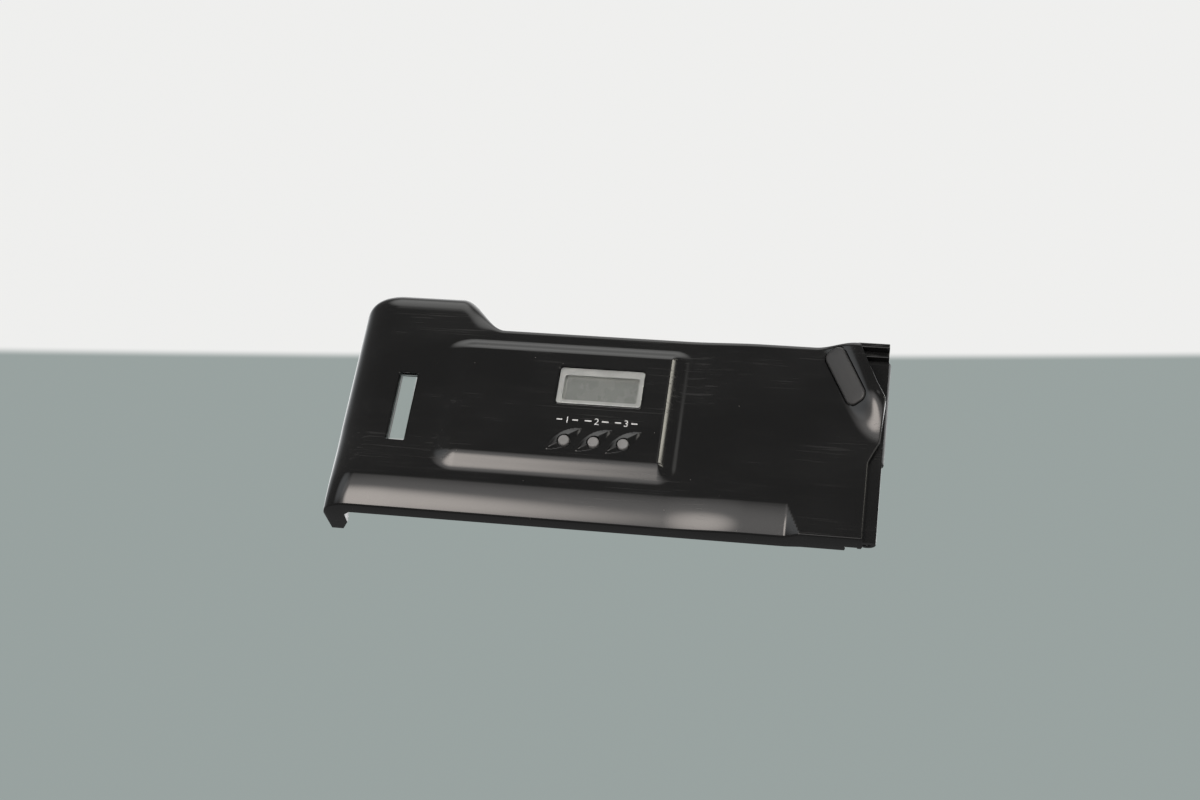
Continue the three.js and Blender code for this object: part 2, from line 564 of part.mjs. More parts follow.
function innerPlate() {
  const bumpTop = TOP_Z + BUMP_RISE - 4.75;
  const outline = polygon([[PLATE.left + 3.5, PLATE.bottom], [PLATE.right, PLATE.bottom],
    [PLATE.right, TOP_Z - 18.95], [PLATE.right - 4.5, PLATE.top - 2], [PLATE.right - 6.5, PLATE.top],
    [BUMP_FOOT_X - 3, PLATE.top], [BUMP_FOOT_X - 7, TOP_Z + 0.55], [BUMP_FOOT_X - 13, bumpTop],
    [PLATE.left + 5.2, bumpTop], [PLATE.left, TOP_Z - 0.95], [PLATE.left, PLATE.bottom + 4]]);
  const traps = [PLATE.bottom, PLATE.top - LIGHT_TRAP.thickness].map((z) => box(
    LIGHT_TRAP.left, LIGHT_TRAP.right, PLATE.y, PLATE_BACK + LIGHT_TRAP.height, z, z + LIGHT_TRAP.thickness));
  const whole = join(sheetXZ(outline, PLATE.y, PLATE_BACK), ...traps);
  const { x, z, width, height } = CASSETTE_WINDOW;
  return cut(
    whole,
    box(...spread(x, width + 0.4), -9, 9, ...spread(z, height + 2)),
    roundY(CELL.x, CELL.z, plugRadius + GAP, -9, 9, 32),
    imprintCut(2 * GAP),
    ...SCREW_PLACES.map(([sx, sz]) => roundY(sx, sz, SCREW.shank + GAP, -9, 9, 10)),
  );
}

add('inner_plate', geometryOf(innerPlate()), blackedPlate, film);

SCREW_PLACES.forEach(([x, z], index) => {
  const top = ON_PLATE + SCREW.headHeight;
  const screw = join(
    roundY(x, z, SCREW.head, ON_PLATE, top, 12),
    roundY(x, z, SCREW.shank, ON_PLATE - SCREW.length, ON_PLATE + 0.2, 10),
  );
  const cross = [box(...spread(x, 2.2), top - SCREW.recess, top + 1, ...spread(z, 0.5)),
    box(...spread(x, 0.5), top - SCREW.recess, top + 1, ...spread(z, 2.2))];
  add(`plate_screw_${index + 1}`, geometryOf(cut(screw, ...cross)), darkSteel, film);
});

// ---------------------------------------------------------------- pressure plate
const pressureMiddle = PRESSURE.left + PRESSURE.width / 2;
const earPlaces = [[-1, -1], [-1, 1], [1, -1], [1, 1]].map(([sx, sz]) => [
  pressureMiddle + sx * (PRESSURE.width / 2 - EAR.inset - EAR.width / 2),
  PRESSURE.z + sz * (PRESSURE.half + EAR.length / 2 - 0.5)]);
const pressureBack = PRESSURE_Y + PRESSURE.thickness;

function pressurePlate() {
  const outline = roundedRectangle(pressureMiddle, PRESSURE.z, PRESSURE.width, 2 * PRESSURE.half, 2);
  const ears = earPlaces.map(([x, z]) =>
    box(...spread(x, EAR.width), PRESSURE_Y, pressureBack, ...spread(z, EAR.length)));
  const whole = join(sheetXZ(outline, PRESSURE_Y, pressureBack, 4), ...ears);
  return cut(
    whole,
    imprintCut(0),
    ...earPlaces.map(([x, z]) => roundY(x, z, GUIDE_PIN_RADIUS + GAP, 0, 9, 12)),
  );
}

add('pressure_plate', geometryOf(pressurePlate()), blackedPlate, film);

earPlaces.forEach(([x, z], index) => {
  const head = pressureBack + GAP;
  const pin = join(
    roundY(x, z, GUIDE_PIN_RADIUS, ON_PLATE, head + 0.2, 12),
    roundY(x, z, GUIDE_PIN_RADIUS + 0.7, head, head + 0.6, 12),
  );
  add(`plate_guide_pin_${index + 1}`, geometryOf(pin), darkSteel, film);
});

for (const [side, sign] of [['left', -1], ['right', 1]]) {
  const ends = spread(pressureMiddle + sign * PRESSURE.width / 4, PRESSURE.width / 2 - 6);
  const strip = bowedStrip(...ends, ON_PLATE, PRESSURE_Y - ON_PLATE - 2 * GAP, GAP);
  add(`pressure_spring_${side}`, sheetXY(strip, 2, 8), brightSteel, film);
}

// ---------------------------------------------------------------- film roller
const rollerBore = SHAFT_RADIUS + GAP;
const roller = cut(
  solid(roundZ(ROLLER.x, ROLLER.y, ROLLER.radius, -ROLLER.half, ROLLER.half, 24)),
  roundZ(ROLLER.x, ROLLER.y, rollerBore, -30, 30, 12),
);
add('film_roller', geometryOf(roller), mattBlack, film);
const bracketInner = ROLLER.half + GAP;
const bracketOuter = bracketInner + BRACKET_THICKNESS;
add('roller_shaft', roundZ(ROLLER.x, ROLLER.y, SHAFT_RADIUS, -bracketOuter - 0.5, bracketOuter + 0.5, 12),
  brightSteel, film);

for (const [side, sign] of [['upper', 1], ['lower', -1]]) {
  const [z0, z1] = sign > 0 ? [bracketInner, bracketOuter] : [-bracketOuter, -bracketInner];
  const ear = new THREE.Shape();
  ear.moveTo(ROLLER.x - 2, ON_PLATE);
  ear.lineTo(ROLLER.x + 2, ON_PLATE);
  ear.lineTo(ROLLER.x + 1.7, ROLLER.y);
  ear.absarc(ROLLER.x, ROLLER.y, 1.7, 0, Math.PI);
  const foot = sign > 0 ? [z0, z1 + 1.5] : [z0 - 1.5, z1];
  const bracket = join(sheetXY(ear, z0, z1), box(...spread(ROLLER.x, 7), ON_PLATE, ON_PLATE + 0.6, ...foot));
  const bore = roundZ(ROLLER.x, ROLLER.y, rollerBore, -30, 30, 12);
  add(`roller_bracket_${side}`, geometryOf(cut(bracket, bore)), darkSteel, film);
}

// ---------------------------------------------------------------- latch side
const HOOK = { left: DOOR_LEFT + 13.65, width: 3.5, reach: 6.3, thickness: 2.2, z: -BOTTOM_Z - 7.1 };
const LATCH_PLATE = { left: PLATE.left + 0.2, right: PLATE.left + 1.8, thickness: 0.8 };
const latchTop = ON_PLATE + LATCH_PLATE.thickness;
const latchPlate = box(LATCH_PLATE.left, LATCH_PLATE.right, ON_PLATE, latchTop, -HOOK.z - 1.5, HOOK.z + 3);
add('latch_plate', latchPlate, darkSteel, film);

function latchHook(z) {
  const root = LATCH_PLATE.right + GAP;
  const right = HOOK.left + HOOK.width;
  return sheetXY(polygon([[root, ON_PLATE], [right, ON_PLATE], [right, HOOK.reach], [HOOK.left - 1, HOOK.reach],
    [HOOK.left - 1, HOOK.reach - 0.9], [HOOK.left + 1.6, HOOK.reach - 1.6], [HOOK.left + 1.6, latchTop],
    [root, latchTop]]), ...spread(z, HOOK.thickness));
}

add('latch_hook_lower', latchHook(0.5 - HOOK.z), darkSteel, film);
add('latch_hook_upper', latchHook(HOOK.z + 1), darkSteel, film);
const sealLeft = LATCH_PLATE.right + 0.4;
add('latch_seal_strip', box(sealLeft, sealLeft + 1.6, ON_PLATE, ON_PLATE + 1, -16, 16), blackFoam, film);
const hingeSeal = box(-13.4, -11.6, ON_PLATE, ON_PLATE + 1, BOTTOM_Z + 9.6, TOP_Z - 5.95);
add('hinge_seal_strip', hingeSeal, blackFoam, film);

// leaf spring that steadies the film cassette, fixed at its edge nearer the hinge
const LEAF_SPRING = { root: PRESSURE.left - 2.4, half: 9 };
const leafUpper = [[0, ON_PLATE + 0.4], [2.2, ON_PLATE + 0.4], [5.1, 2.4], [7.6, 3.1], [9.9, 2.7]];
const leafLower = [[9.9, 2.3], [7.6, 2.7], [4.8, 2], [2.1, ON_PLATE], [0, ON_PLATE]];
const leafSpring = polygon([...leafUpper, ...leafLower].map(([out, y]) => [LEAF_SPRING.root - out, y]));
add('cassette_spring', sheetXY(leafSpring, -LEAF_SPRING.half, LEAF_SPRING.half), brightSteel, film);

// ---------------------------------------------------------------- camera contacts
const CONTACTS = { x: -34, z: BOTTOM_Z + 8.1, pitch: 3, radius: 0.6 };
const contactX = [-1, 0, 1].map((step) => CONTACTS.x + step * CONTACTS.pitch);
const block = cut(
  solid(box(...spread(CONTACTS.x, 11), ON_PLATE, ON_PLATE + 1.6, ...spread(CONTACTS.z, 4))),
  ...contactX.map((x) => roundY(x, CONTACTS.z, CONTACTS.radius + GAP, -9, 9, 12)),
);
add('contact_block', geometryOf(block), mattBlack, film);
contactX.forEach((x, index) => {
  const pin = roundY(x, CONTACTS.z, CONTACTS.radius, ON_PLATE, ON_PLATE + 2.4, 12);
  add(`sync_contact_${index + 1}`, pin, gold, film);
});

// ---------------------------------------------------------------- hinge
const hinge = new THREE.Group();
door.add(hinge);
const PIN = { bottom: BARREL.top - 16.6, top: BARREL.top + 1.4 };
const TAB = { bottom: PIN.bottom + 1.5, top: PIN.bottom + 5, half: 0.9, reach: 4.4 };
const LEAF_PLATE = { left: -11, short: -8.5, bottom: BARREL.bottom + 1.7, top: BARREL.bottom + 11.7,
  upper: BARREL.top - 8 };

function hingeBarrel() {
  const whole = join(
    roundZ(0, 0, BARREL_RADIUS, BARREL.bottom, BARREL.top, 24),
    box(LEAF_PLATE.left, -1.5, ON_PLATE, ON_PLATE + 1, LEAF_PLATE.bottom, LEAF_PLATE.top),
    box(LEAF_PLATE.short, -1.5, ON_PLATE, ON_PLATE + 1, LEAF_PLATE.top - 1, LEAF_PLATE.upper),
  );
  return cut(
    whole,
    roundZ(0, 0, PIN_RADIUS + GAP, BARREL.bottom + 2, BARREL.top + 5, 16),
    box(...spread(0, 2 * (TAB.half + GAP)), 0, 9, TAB.bottom - PIN_TRAVEL - GAP, TAB.top + GAP),
  );
}

add('hinge_barrel', geometryOf(hingeBarrel()), darkSteel, hinge);
add('hinge_pin', roundZ(0, 0, PIN_RADIUS, PIN.bottom, PIN.top, 16), brightSteel, hinge);
add('release_tab', box(-TAB.half, TAB.half, PIN_RADIUS + GAP, TAB.reach, TAB.bottom, TAB.top), darkSteel, hinge);
add('lower_pivot_pin', roundZ(0, 0, PIN_RADIUS, LUG.bottom + 0.05, LUG.bottom + 4.25, 16), brightSteel, hinge);

// coil spring under the hinge pin
class Coil extends THREE.Curve {
  getPoint(t, target = new THREE.Vector3()) {
    const turns = 7;
    const radius = PIN_RADIUS - GAP;
    const bottom = BARREL.bottom + 2 + 0.5;
    const angle = 2 * Math.PI * turns * t;
    return target.set(radius * Math.cos(angle), radius * Math.sin(angle), blend(bottom, PIN.bottom - 0.5, t));
  }
}
const wire = new THREE.Shape();
wire.absarc(0, 0, 0.22, 0, 2 * Math.PI);
add('hinge_spring', new THREE.ExtrudeGeometry(wire, { extrudePath: new Coil(), steps: 70, curveSegments: 2 }),
  brightSteel, hinge);

export default door;
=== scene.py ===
import json
import math

import bmesh
import bpy
import numpy as np
from mathutils import Matrix, Vector


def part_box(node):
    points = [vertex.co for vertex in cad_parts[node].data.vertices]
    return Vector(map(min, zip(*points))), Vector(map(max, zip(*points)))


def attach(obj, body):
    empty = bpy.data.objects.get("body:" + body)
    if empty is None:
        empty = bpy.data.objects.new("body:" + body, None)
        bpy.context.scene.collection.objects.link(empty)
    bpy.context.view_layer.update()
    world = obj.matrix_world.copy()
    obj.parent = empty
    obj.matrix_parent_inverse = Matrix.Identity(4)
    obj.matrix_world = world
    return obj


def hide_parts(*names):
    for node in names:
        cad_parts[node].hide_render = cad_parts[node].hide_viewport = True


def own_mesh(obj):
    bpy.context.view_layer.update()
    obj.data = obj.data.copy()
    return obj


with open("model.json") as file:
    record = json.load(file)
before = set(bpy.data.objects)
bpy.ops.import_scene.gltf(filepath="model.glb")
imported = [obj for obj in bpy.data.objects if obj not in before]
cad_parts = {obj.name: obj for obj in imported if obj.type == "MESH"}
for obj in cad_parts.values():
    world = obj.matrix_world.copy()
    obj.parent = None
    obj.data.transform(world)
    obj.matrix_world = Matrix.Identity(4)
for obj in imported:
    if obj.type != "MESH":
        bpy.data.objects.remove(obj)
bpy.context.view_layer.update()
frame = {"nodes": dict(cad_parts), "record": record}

# Hinged back door of a 35 mm film camera with a built-in quartz timer (data back).
# The outer face looks towards -Y, the film side towards +Y, +Z is up along the door.
# The origin is on the hinge axis. Shapes are worked out in millimetres and stored in metres.
MM = 0.001
SCENE = bpy.context.scene
BODY_OF = {node: body for body, nodes in frame["record"]["behaviour"]["bodies"].items() for node in nodes}


def box_mm(node):
    """Lowest and highest corner of a CAD node, in millimetres."""
    low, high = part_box(node)
    return np.array(low) / MM, np.array(high) / MM


def centre_of(node):
    low, high = box_mm(node)
    return (low + high) / 2


def seen_from_front(node):
    """Centre in X and Z, width and height, then the front and the back in Y."""
    low, high = box_mm(node)
    (x, _, z), (width, _, height) = (low + high) / 2, high - low
    return x, z, width, height, low[1], high[1]


def placed(name, data):
    """A new object in the scene."""
    made = bpy.data.objects.new(name, data)
    SCENE.collection.objects.link(made)
    return made


def evaluated(made):
    """A new mesh with the object's shape after its modifiers."""
    return bpy.data.meshes.new_from_object(made.evaluated_get(bpy.context.evaluated_depsgraph_get()))


def join(tree, *links):
    """Links nodes; every link is (source node, its output, target node, its input)."""
    for source, output, target, socket in links:
        tree.links.new(source.outputs[output], target.inputs[socket])


# -------- camera and light
CAMERA_PLACE = Vector((9.4, -403.2, -209.8)) * MM
CAMERA_FORWARD = Vector((-0.1723, 0.8641, 0.4729)).normalized()
CAMERA_TURN = Vector((0.9829, 0.1192, 0.1403))
LENS = 54
FLOOR_Z = -300 * MM
ROOM_RADIUS, ROOM_SWEEP, ROOM_TOP = 1.3, 0.5, 2.2
HORIZON = 0.060  # where the floor's grey turns into the pale backdrop, along the camera's up
FLOOR_TONE, BACKDROP_TONE = (0.31, 0.355, 0.345, 1), (0.855, 0.855, 0.845, 1)


def add_camera():
    lens = bpy.data.cameras.new("camera")
    lens.lens = LENS
    lens.clip_start, lens.clip_end = 0.01, 20
    camera = placed("camera", lens)
    up = CAMERA_TURN.cross(CAMERA_FORWARD).normalized()
    right = CAMERA_FORWARD.cross(up)
    turn = Matrix((right, up, -CAMERA_FORWARD)).transposed()
    camera.matrix_world = Matrix.Translation(CAMERA_PLACE) @ turn.to_4x4()
    SCENE.camera = camera
    return up


# soft lights as (direction, inner and outer angle in degrees, colour, strength)
SOFTBOXES = (
    ((-0.36, -0.92, -0.20), 2, 15, (1.0, 0.91, 0.84), 6.5),
    ((-0.30, -0.94, -0.17), 5, 32, (1.0, 0.97, 0.95), 1.9),
    ((-0.75, -0.65, 0.12), 3, 19, (0.93, 0.97, 1.0), 1.1),
    ((-0.72, 0.62, 0.30), 4, 34, (0.86, 0.95, 1.0), 0.12),
    ((-0.17, -0.41, 0.89), 8, 34, (1.0, 1.0, 0.98), 1.6),
    ((0.60, -0.645, 0.475), 1.5, 5, (1.0, 0.97, 0.84), 9.0),
    ((0.12, -0.90, 0.42), 2, 6, (1.0, 0.99, 0.95), 0.8),
    ((0.86, -0.50, 0.10), 4, 20, (1.0, 0.97, 0.90), 2.0),
    ((0.15, 0.80, 0.58), 20, 60, (1.0, 1.0, 1.0), 1.4),
    ((-0.7, 0.7, 0.1), 12, 36, (0.95, 0.98, 1.0), 0.25),
)
AMBIENT = 0.16


def add_studio_light():
    world = bpy.data.worlds.new("studio")
    SCENE.world = world
    world.use_nodes = True
    tree = world.node_tree
    background = tree.nodes["Background"]
    look = tree.nodes.new("ShaderNodeTexCoord")
    last = None
    for direction, inner, outer, colour, strength in SOFTBOXES:
        toward = tree.nodes.new("ShaderNodeVectorMath")
        toward.operation = "DOT_PRODUCT"
        toward.inputs[1].default_value = Vector(direction).normalized()
        edge = tree.nodes.new("ShaderNodeMapRange")
        edge.interpolation_type = "SMOOTHSTEP"
        edge.inputs["From Min"].default_value = math.cos(math.radians(outer))
        edge.inputs["From Max"].default_value = math.cos(math.radians(inner))
        glow = tree.nodes.new("ShaderNodeVectorMath")
        glow.operation = "MULTIPLY_ADD"
        glow.inputs[1].default_value = Vector(colour) * strength
        join(tree, (look, "Generated", toward, 0), (toward, "Value", edge, "Value"),
             (edge, "Result", glow, 0))
        if last is None:
            glow.inputs[2].default_value = (AMBIENT, AMBIENT, AMBIENT)
        else:
            join(tree, (last, "Vector", glow, 2))
        last = glow
    join(tree, (last, "Vector", background, "Color"))


def add_room(up):
    """A plain pale floor that sweeps up all round into a plain backdrop."""
    profile = []
    steps, around = 12, 64
    for step in range(steps + 1):
        angle = math.pi / 2 * step / steps
        profile.append((ROOM_RADIUS - ROOM_SWEEP + ROOM_SWEEP * math.sin(angle),
                        FLOOR_Z + ROOM_SWEEP * (1 - math.cos(angle))))
    profile.append((ROOM_RADIUS, ROOM_TOP))
    shape = bmesh.new()
    rings = []
    for radius, height in profile:
        ring = [shape.verts.new((radius * math.cos(turn), radius * math.sin(turn), height))
                for turn in np.linspace(0, 2 * math.pi, around, endpoint=False)]
        rings.append(ring)
    shape.faces.new(rings[0])
    for lower, upper in zip(rings, rings[1:]):
        for i in range(around):
            j = (i + 1) % around
            shape.faces.new((lower[i], lower[j], upper[j], upper[i]))
    mesh = bpy.data.meshes.new("room")
    shape.to_mesh(mesh)
    shape.free()
    mesh.shade_smooth()
    room = placed("room", mesh)
    room.visible_glossy = False
    room.visible_diffuse = False
    room.visible_shadow = False
    finish = Finish("room_paper")
    rise = finish.node("ShaderNodeVectorMath", {0: finish.place, 1: up}, operation="DOT_PRODUCT")
    share = finish.band(rise.outputs["Value"], HORIZON - 0.004, HORIZON + 0.006)
    finish.wire("Emission Color", finish.mix(share, FLOOR_TONE, BACKDROP_TONE))
    finish.set(base_color=(0.01, 0.01, 0.01, 1), roughness=0.9, specular_ior_level=0, emission_strength=1)
    mesh.materials.append(finish.material)


# -------- finishes
class Finish:
    """A Principled material that is built up a node at a time on object coordinates, in metres."""

    def __init__(self, name):
        self.material = bpy.data.materials.new(name)
        self.material.use_nodes = True
        self.tree = self.material.node_tree
        self.shader = self.tree.nodes["Principled BSDF"]
        self.place = self.node("ShaderNodeTexCoord").outputs["Object"]
        self.relief = None

    def node(self, kind, inputs=None, **settings):
        made = self.tree.nodes.new(kind)
        for key, value in settings.items():
            setattr(made, key, value)
        for key, value in (inputs or {}).items():
            if isinstance(value, bpy.types.NodeSocket):
                self.tree.links.new(value, made.inputs[key])
            else:
                made.inputs[key].default_value = value
        return made

    def set(self, **values):
        for name, value in values.items():
            self.shader.inputs[name.replace("_", " ").title().replace("Ior", "IOR")].default_value = value

    def wire(self, socket, output):
        self.tree.links.new(output, self.shader.inputs[socket])

    def stretched(self, stretch, turn=0.0):
        return self.node("ShaderNodeMapping", {"Vector": self.place, "Scale": stretch,
                                               "Rotation": (0, turn, 0)}).outputs["Vector"]

    def noise(self, size, stretch=(1, 1, 1), detail=4.0, turn=0.0):
        """Soft noise whose blotches are about size across, in metres."""
        return self.node("ShaderNodeTexNoise", {"Vector": self.stretched(stretch, turn), "Scale": 1 / size,
                                                "Detail": detail}).outputs["Fac"]

    def cells(self, size, stretch=(1, 1, 1)):
        return self.node("ShaderNodeTexVoronoi", {"Vector": self.stretched(stretch), "Scale": 1 / size})

    def band(self, value, low, high, to_low=0.0, to_high=1.0):
        return self.node("ShaderNodeMapRange", {"Value": value, "From Min": low, "From Max": high,
                                                "To Min": to_low, "To Max": to_high},
                         interpolation_type="SMOOTHSTEP").outputs["Result"]

    def sum(self, a, b, operation="ADD"):
        return self.node("ShaderNodeMath", {0: a, 1: b}, operation=operation).outputs["Value"]

    def mix(self, share, a, b):
        # sockets 0, 6 and 7 are the factor and the two colours; output 2 is the colour
        return self.node("ShaderNodeMix", {0: share, 6: a, 7: b}, data_type="RGBA").outputs[2]

    def paint(self, share, a, b):
        self.wire("Base Color", self.mix(share, a, b))

    def dull(self, value, low, high, least, most):
        """Roughness from least to most as the value goes from low to high."""
        self.wire("Roughness", self.band(value, low, high, least, most))

    def bump(self, height, distance, strength=1.0):
        """Adds a bump; distance is how far the height moves the surface, in metres."""
        inputs = {"Height": height, "Distance": distance, "Strength": strength}
        if self.relief is not None:
            inputs["Normal"] = self.relief
        self.relief = self.node("ShaderNodeBump", inputs).outputs["Normal"]
        self.wire("Normal", self.relief)


def grey(level, warm=0.0):
    return (level * (1 + warm), level, level * (1 - warm), 1)


def gloss_cover():
    """High-gloss black moulding with wipe marks, hairline scratches and dust."""
    finish = Finish("gloss_cover")
    hairs = finish.noise(0.5 * MM, (0.025, 1, 1), 3.0)
    strokes = finish.noise(0.7 * MM, (1, 1, 0.03), 2.0, math.radians(24))
    haze = finish.noise(14 * MM, (0.5, 1, 1), 3.0)
    scratches = finish.sum(finish.band(hairs, 0.55, 0.70), finish.band(strokes, 0.70, 0.78, 0, 0.6),
                           "MAXIMUM")
    worn = finish.sum(scratches, finish.band(haze, 0.34, 0.66), "MULTIPLY")
    specks = finish.cells(2.6 * MM)
    chance = finish.node("ShaderNodeSeparateColor", {"Color": specks.outputs["Color"]}).outputs["Red"]
    lit = finish.band(chance, 0.80, 0.82)
    dust = finish.sum(finish.band(specks.outputs["Distance"], 0.05, 0.025), lit, "MULTIPLY")
    colour = finish.mix(finish.band(haze, 0.35, 0.7), grey(0.0085, 0.0), grey(0.0115))
    colour = finish.mix(finish.sum(worn, 0.28, "MULTIPLY"), colour, grey(0.045, 0.02))
    finish.paint(dust, colour, grey(0.16, 0.05))
    rough = finish.sum(finish.band(haze, 0.3, 0.75, 0.085, 0.14), finish.sum(worn, 0.12, "MULTIPLY"))
    finish.wire("Roughness", finish.sum(rough, finish.sum(dust, 0.5, "MULTIPLY")))
    finish.bump(finish.noise(3.5 * MM, (0.6, 1, 1), 2.0), 0.004 * MM, 0.35)
    finish.bump(worn, 0.001 * MM, 0.4)
    finish.set(ior=1.52)
    return finish.material


def clear_plastic(name, tint):
    """Polished clear pane with faint wipe marks."""
    finish = Finish(name)
    wipes = finish.noise(0.9 * MM, (0.12, 1, 1), 3.0)
    dimmed = tuple(0.985 * c for c in tint[:3]) + (1,)
    finish.paint(finish.band(wipes, 0.3, 0.7), tint, dimmed)
    finish.dull(wipes, 0.4, 0.75, 0.02, 0.045)
    finish.set(ior=1.49, transmission_weight=1.0)
    finish.bump(finish.noise(2 * MM), 0.002 * MM, 0.3)
    return finish.material


def moulded(name, level, rough, grain=0.12, depth=0.006, warm=0.0):
    """Moulded plastic or rubber: fine even grain with soft shine differences."""
    finish = Finish(name)
    spark = finish.cells(grain * MM).outputs["Distance"]
    cloud = finish.noise(5 * MM)
    shade = finish.mix(finish.band(cloud, 0.3, 0.7), grey(level * 0.88, warm), grey(level * 1.1, warm))
    finish.paint(finish.band(spark, 0.1, 0.6, 0, 0.25), shade, grey(level * 1.35, warm))
    finish.dull(cloud, 0.3, 0.7, rough - 0.06, rough + 0.06)
    finish.bump(spark, depth * MM, 0.6)
    return finish.material


def foam():
    finish = Finish("seal_foam")
    pores = finish.cells(0.16 * MM).outputs["Distance"]
    finish.paint(finish.band(pores, 0.15, 0.5), grey(0.006), grey(0.03))
    finish.dull(finish.noise(1.2 * MM), 0.3, 0.7, 0.86, 0.98)
    finish.bump(pores, 0.06 * MM, 1.0)
    return finish.material


def metal(name, level, rough, brush=(0.04, 1, 1), grain=0.25, tint=(1, 1, 1), metallic=1.0, marks=0.3):
    """Plated or painted sheet metal, brushed one way, with small rubbed marks."""
    finish = Finish(name)
    brushed = finish.noise(grain * MM, brush, 3.0)
    cloud = finish.noise(6 * MM)
    rubs = finish.noise(0.4 * MM, (0.08, 1, 0.6), 2.0, math.radians(-35))
    rubbed = finish.sum(finish.band(rubs, 0.62, 0.7), finish.band(cloud, 0.5, 0.7), "MULTIPLY")
    low = tuple(level * 0.82 * t for t in tint) + (1,)
    high = tuple(level * 1.12 * t for t in tint) + (1,)
    worn = tuple(min(1, level * 1.6 + 0.05) * t for t in tint) + (1,)
    colour = finish.mix(finish.band(brushed, 0.25, 0.75), low, high)
    finish.paint(finish.sum(rubbed, marks, "MULTIPLY"), colour, worn)
    finish.wire("Roughness", finish.sum(finish.band(brushed, 0.25, 0.75, rough - 0.07, rough + 0.07),
                                        finish.sum(cloud, 0.08, "MULTIPLY")))
    finish.bump(brushed, 0.002 * MM, 0.5)
    finish.set(metallic=metallic)
    return finish.material


def circuit_board():
    """Green solder mask over copper tracks."""
    finish = Finish("board")
    tracks = finish.node("ShaderNodeTexBrick", {"Vector": finish.stretched((1, 1, 1)), "Scale": 1 / (6 * MM),
                                                "Mortar Size": 0.06, "Color1": grey(0.0), "Color2": grey(0.0),
                                                "Mortar": grey(1.0)}).outputs["Color"]
    weave = finish.noise(0.3 * MM)
    base = finish.mix(finish.band(weave, 0.3, 0.7), (0.035, 0.13, 0.05, 1), (0.05, 0.17, 0.07, 1))
    finish.paint(tracks, base, (0.08, 0.26, 0.11, 1))
    finish.dull(weave, 0.3, 0.7, 0.35, 0.5)
    finish.bump(weave, 0.004 * MM, 0.4)
    return finish.material


def lcd_with_painted_highlight():
    """Liquid crystal glass: even grey green, lightened near its top and side edges by a painted highlight."""
    finish = Finish("display_glass")
    low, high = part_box("lcd_panel")
    axes = finish.node("ShaderNodeSeparateXYZ", {"Vector": finish.place}).outputs
    # painted highlight: a soft lighter band under the top edge and narrow lighter strips at both sides stand
    # for light from the pane's bevelled rim
    glow = finish.band(axes["Z"], high.z - 2.6 * MM, high.z - 0.9 * MM)
    edge = finish.sum(finish.band(axes["X"], low.x + 1.6 * MM, low.x + 0.6 * MM),
                      finish.band(axes["X"], high.x - 1.2 * MM, high.x - 0.4 * MM), "MAXIMUM")
    share = finish.sum(glow, edge, "MAXIMUM")
    cloud = finish.noise(4 * MM)
    inner = finish.mix(finish.band(cloud, 0.3, 0.7), (0.215, 0.220, 0.208, 1), (0.230, 0.233, 0.221, 1))
    # the inner grey green turns to a light grey where the painted highlight lies near the edges
    finish.paint(share, inner, (0.50, 0.50, 0.47, 1))
    finish.dull(cloud, 0.3, 0.7, 0.22, 0.32)
    return finish.material


def white_ink():
    finish = Finish("white_ink")
    blot = finish.noise(0.15 * MM)
    finish.paint(finish.band(blot, 0.3, 0.7), grey(0.72), grey(0.86))
    finish.dull(blot, 0.3, 0.7, 0.4, 0.55)
    finish.bump(blot, 0.004 * MM, 0.5)
    return finish.material


FINISHES = {
    "gloss_cover": gloss_cover(),
    "clear_window": clear_plastic("clear_window", (0.93, 0.94, 0.93, 1)),
    "display_glass": lcd_with_painted_highlight(),
    "seal_foam": foam(),
    "thumb_rubber": moulded("thumb_rubber", 0.038, 0.42, 0.10, 0.004),
    "matt_plastic": moulded("matt_plastic", 0.028, 0.5, 0.16, 0.01),
    "button_grey": moulded("button_grey", 0.24, 0.5, 0.14, 0.004, 0.01),
    "keypad_rubber": moulded("keypad_rubber", 0.09, 0.62),
    "board": circuit_board(),
    "chip": moulded("chip", 0.02, 0.6, 0.2, 0.008),
    "bright_steel": metal("bright_steel", 0.58, 0.28),
    "dark_steel": metal("dark_steel", 0.12, 0.40, (1, 1, 0.05), 0.3, (1.0, 1.02, 1.03)),
    "black_plate": metal("black_plate", 0.03, 0.42, (0.05, 1, 1), 0.35, (1, 1, 1.02), 0.45, 0.5),
    "contact_gold": metal("contact_gold", 0.62, 0.25, (1, 1, 1), 0.3, (1.15, 0.80, 0.36)),
    "white_ink": white_ink(),
    "window_print": moulded("window_print", 0.47, 0.45, 0.2, 0.002, 0.015),
}


# -------- meshes and pieces
def add_body(shape, points, faces):
    """Adds a closed body to a bmesh; the points are in millimetres."""
    verts = [shape.verts.new(Vector(p) * MM) for p in points]
    for face in faces:
        shape.faces.new([verts[i] for i in face])


def mesh_of(name, points, faces):
    """A closed mesh from points in millimetres, with its faces turned outwards."""
    shape = bmesh.new()
    add_body(shape, points, faces)
    return finished_mesh(name, shape)


def finished_mesh(name, shape, angle=35):
    """A mesh with sharp edges where its faces meet at more than angle degrees; the bmesh is used up."""
    bmesh.ops.remove_doubles(shape, verts=shape.verts, dist=1e-7)
    bmesh.ops.recalc_face_normals(shape, faces=shape.faces)
    mesh = bpy.data.meshes.new(name)
    shape.to_mesh(mesh)
    shape.free()
    if "custom_normal" in mesh.attributes:
        mesh.attributes.remove(mesh.attributes["custom_normal"])
    mesh.shade_smooth()
    mesh.set_sharp_from_angle(angle=math.radians(angle))
    return mesh


def with_even_normals(mesh):
    """Large flat faces keep their own normal beside narrow rounded edges."""
    holder = placed("holder", mesh)
    holder.modifiers.new("normals", "WEIGHTED_NORMAL").keep_sharp = True
    result = evaluated(holder)
    bpy.data.objects.remove(holder)
    return result


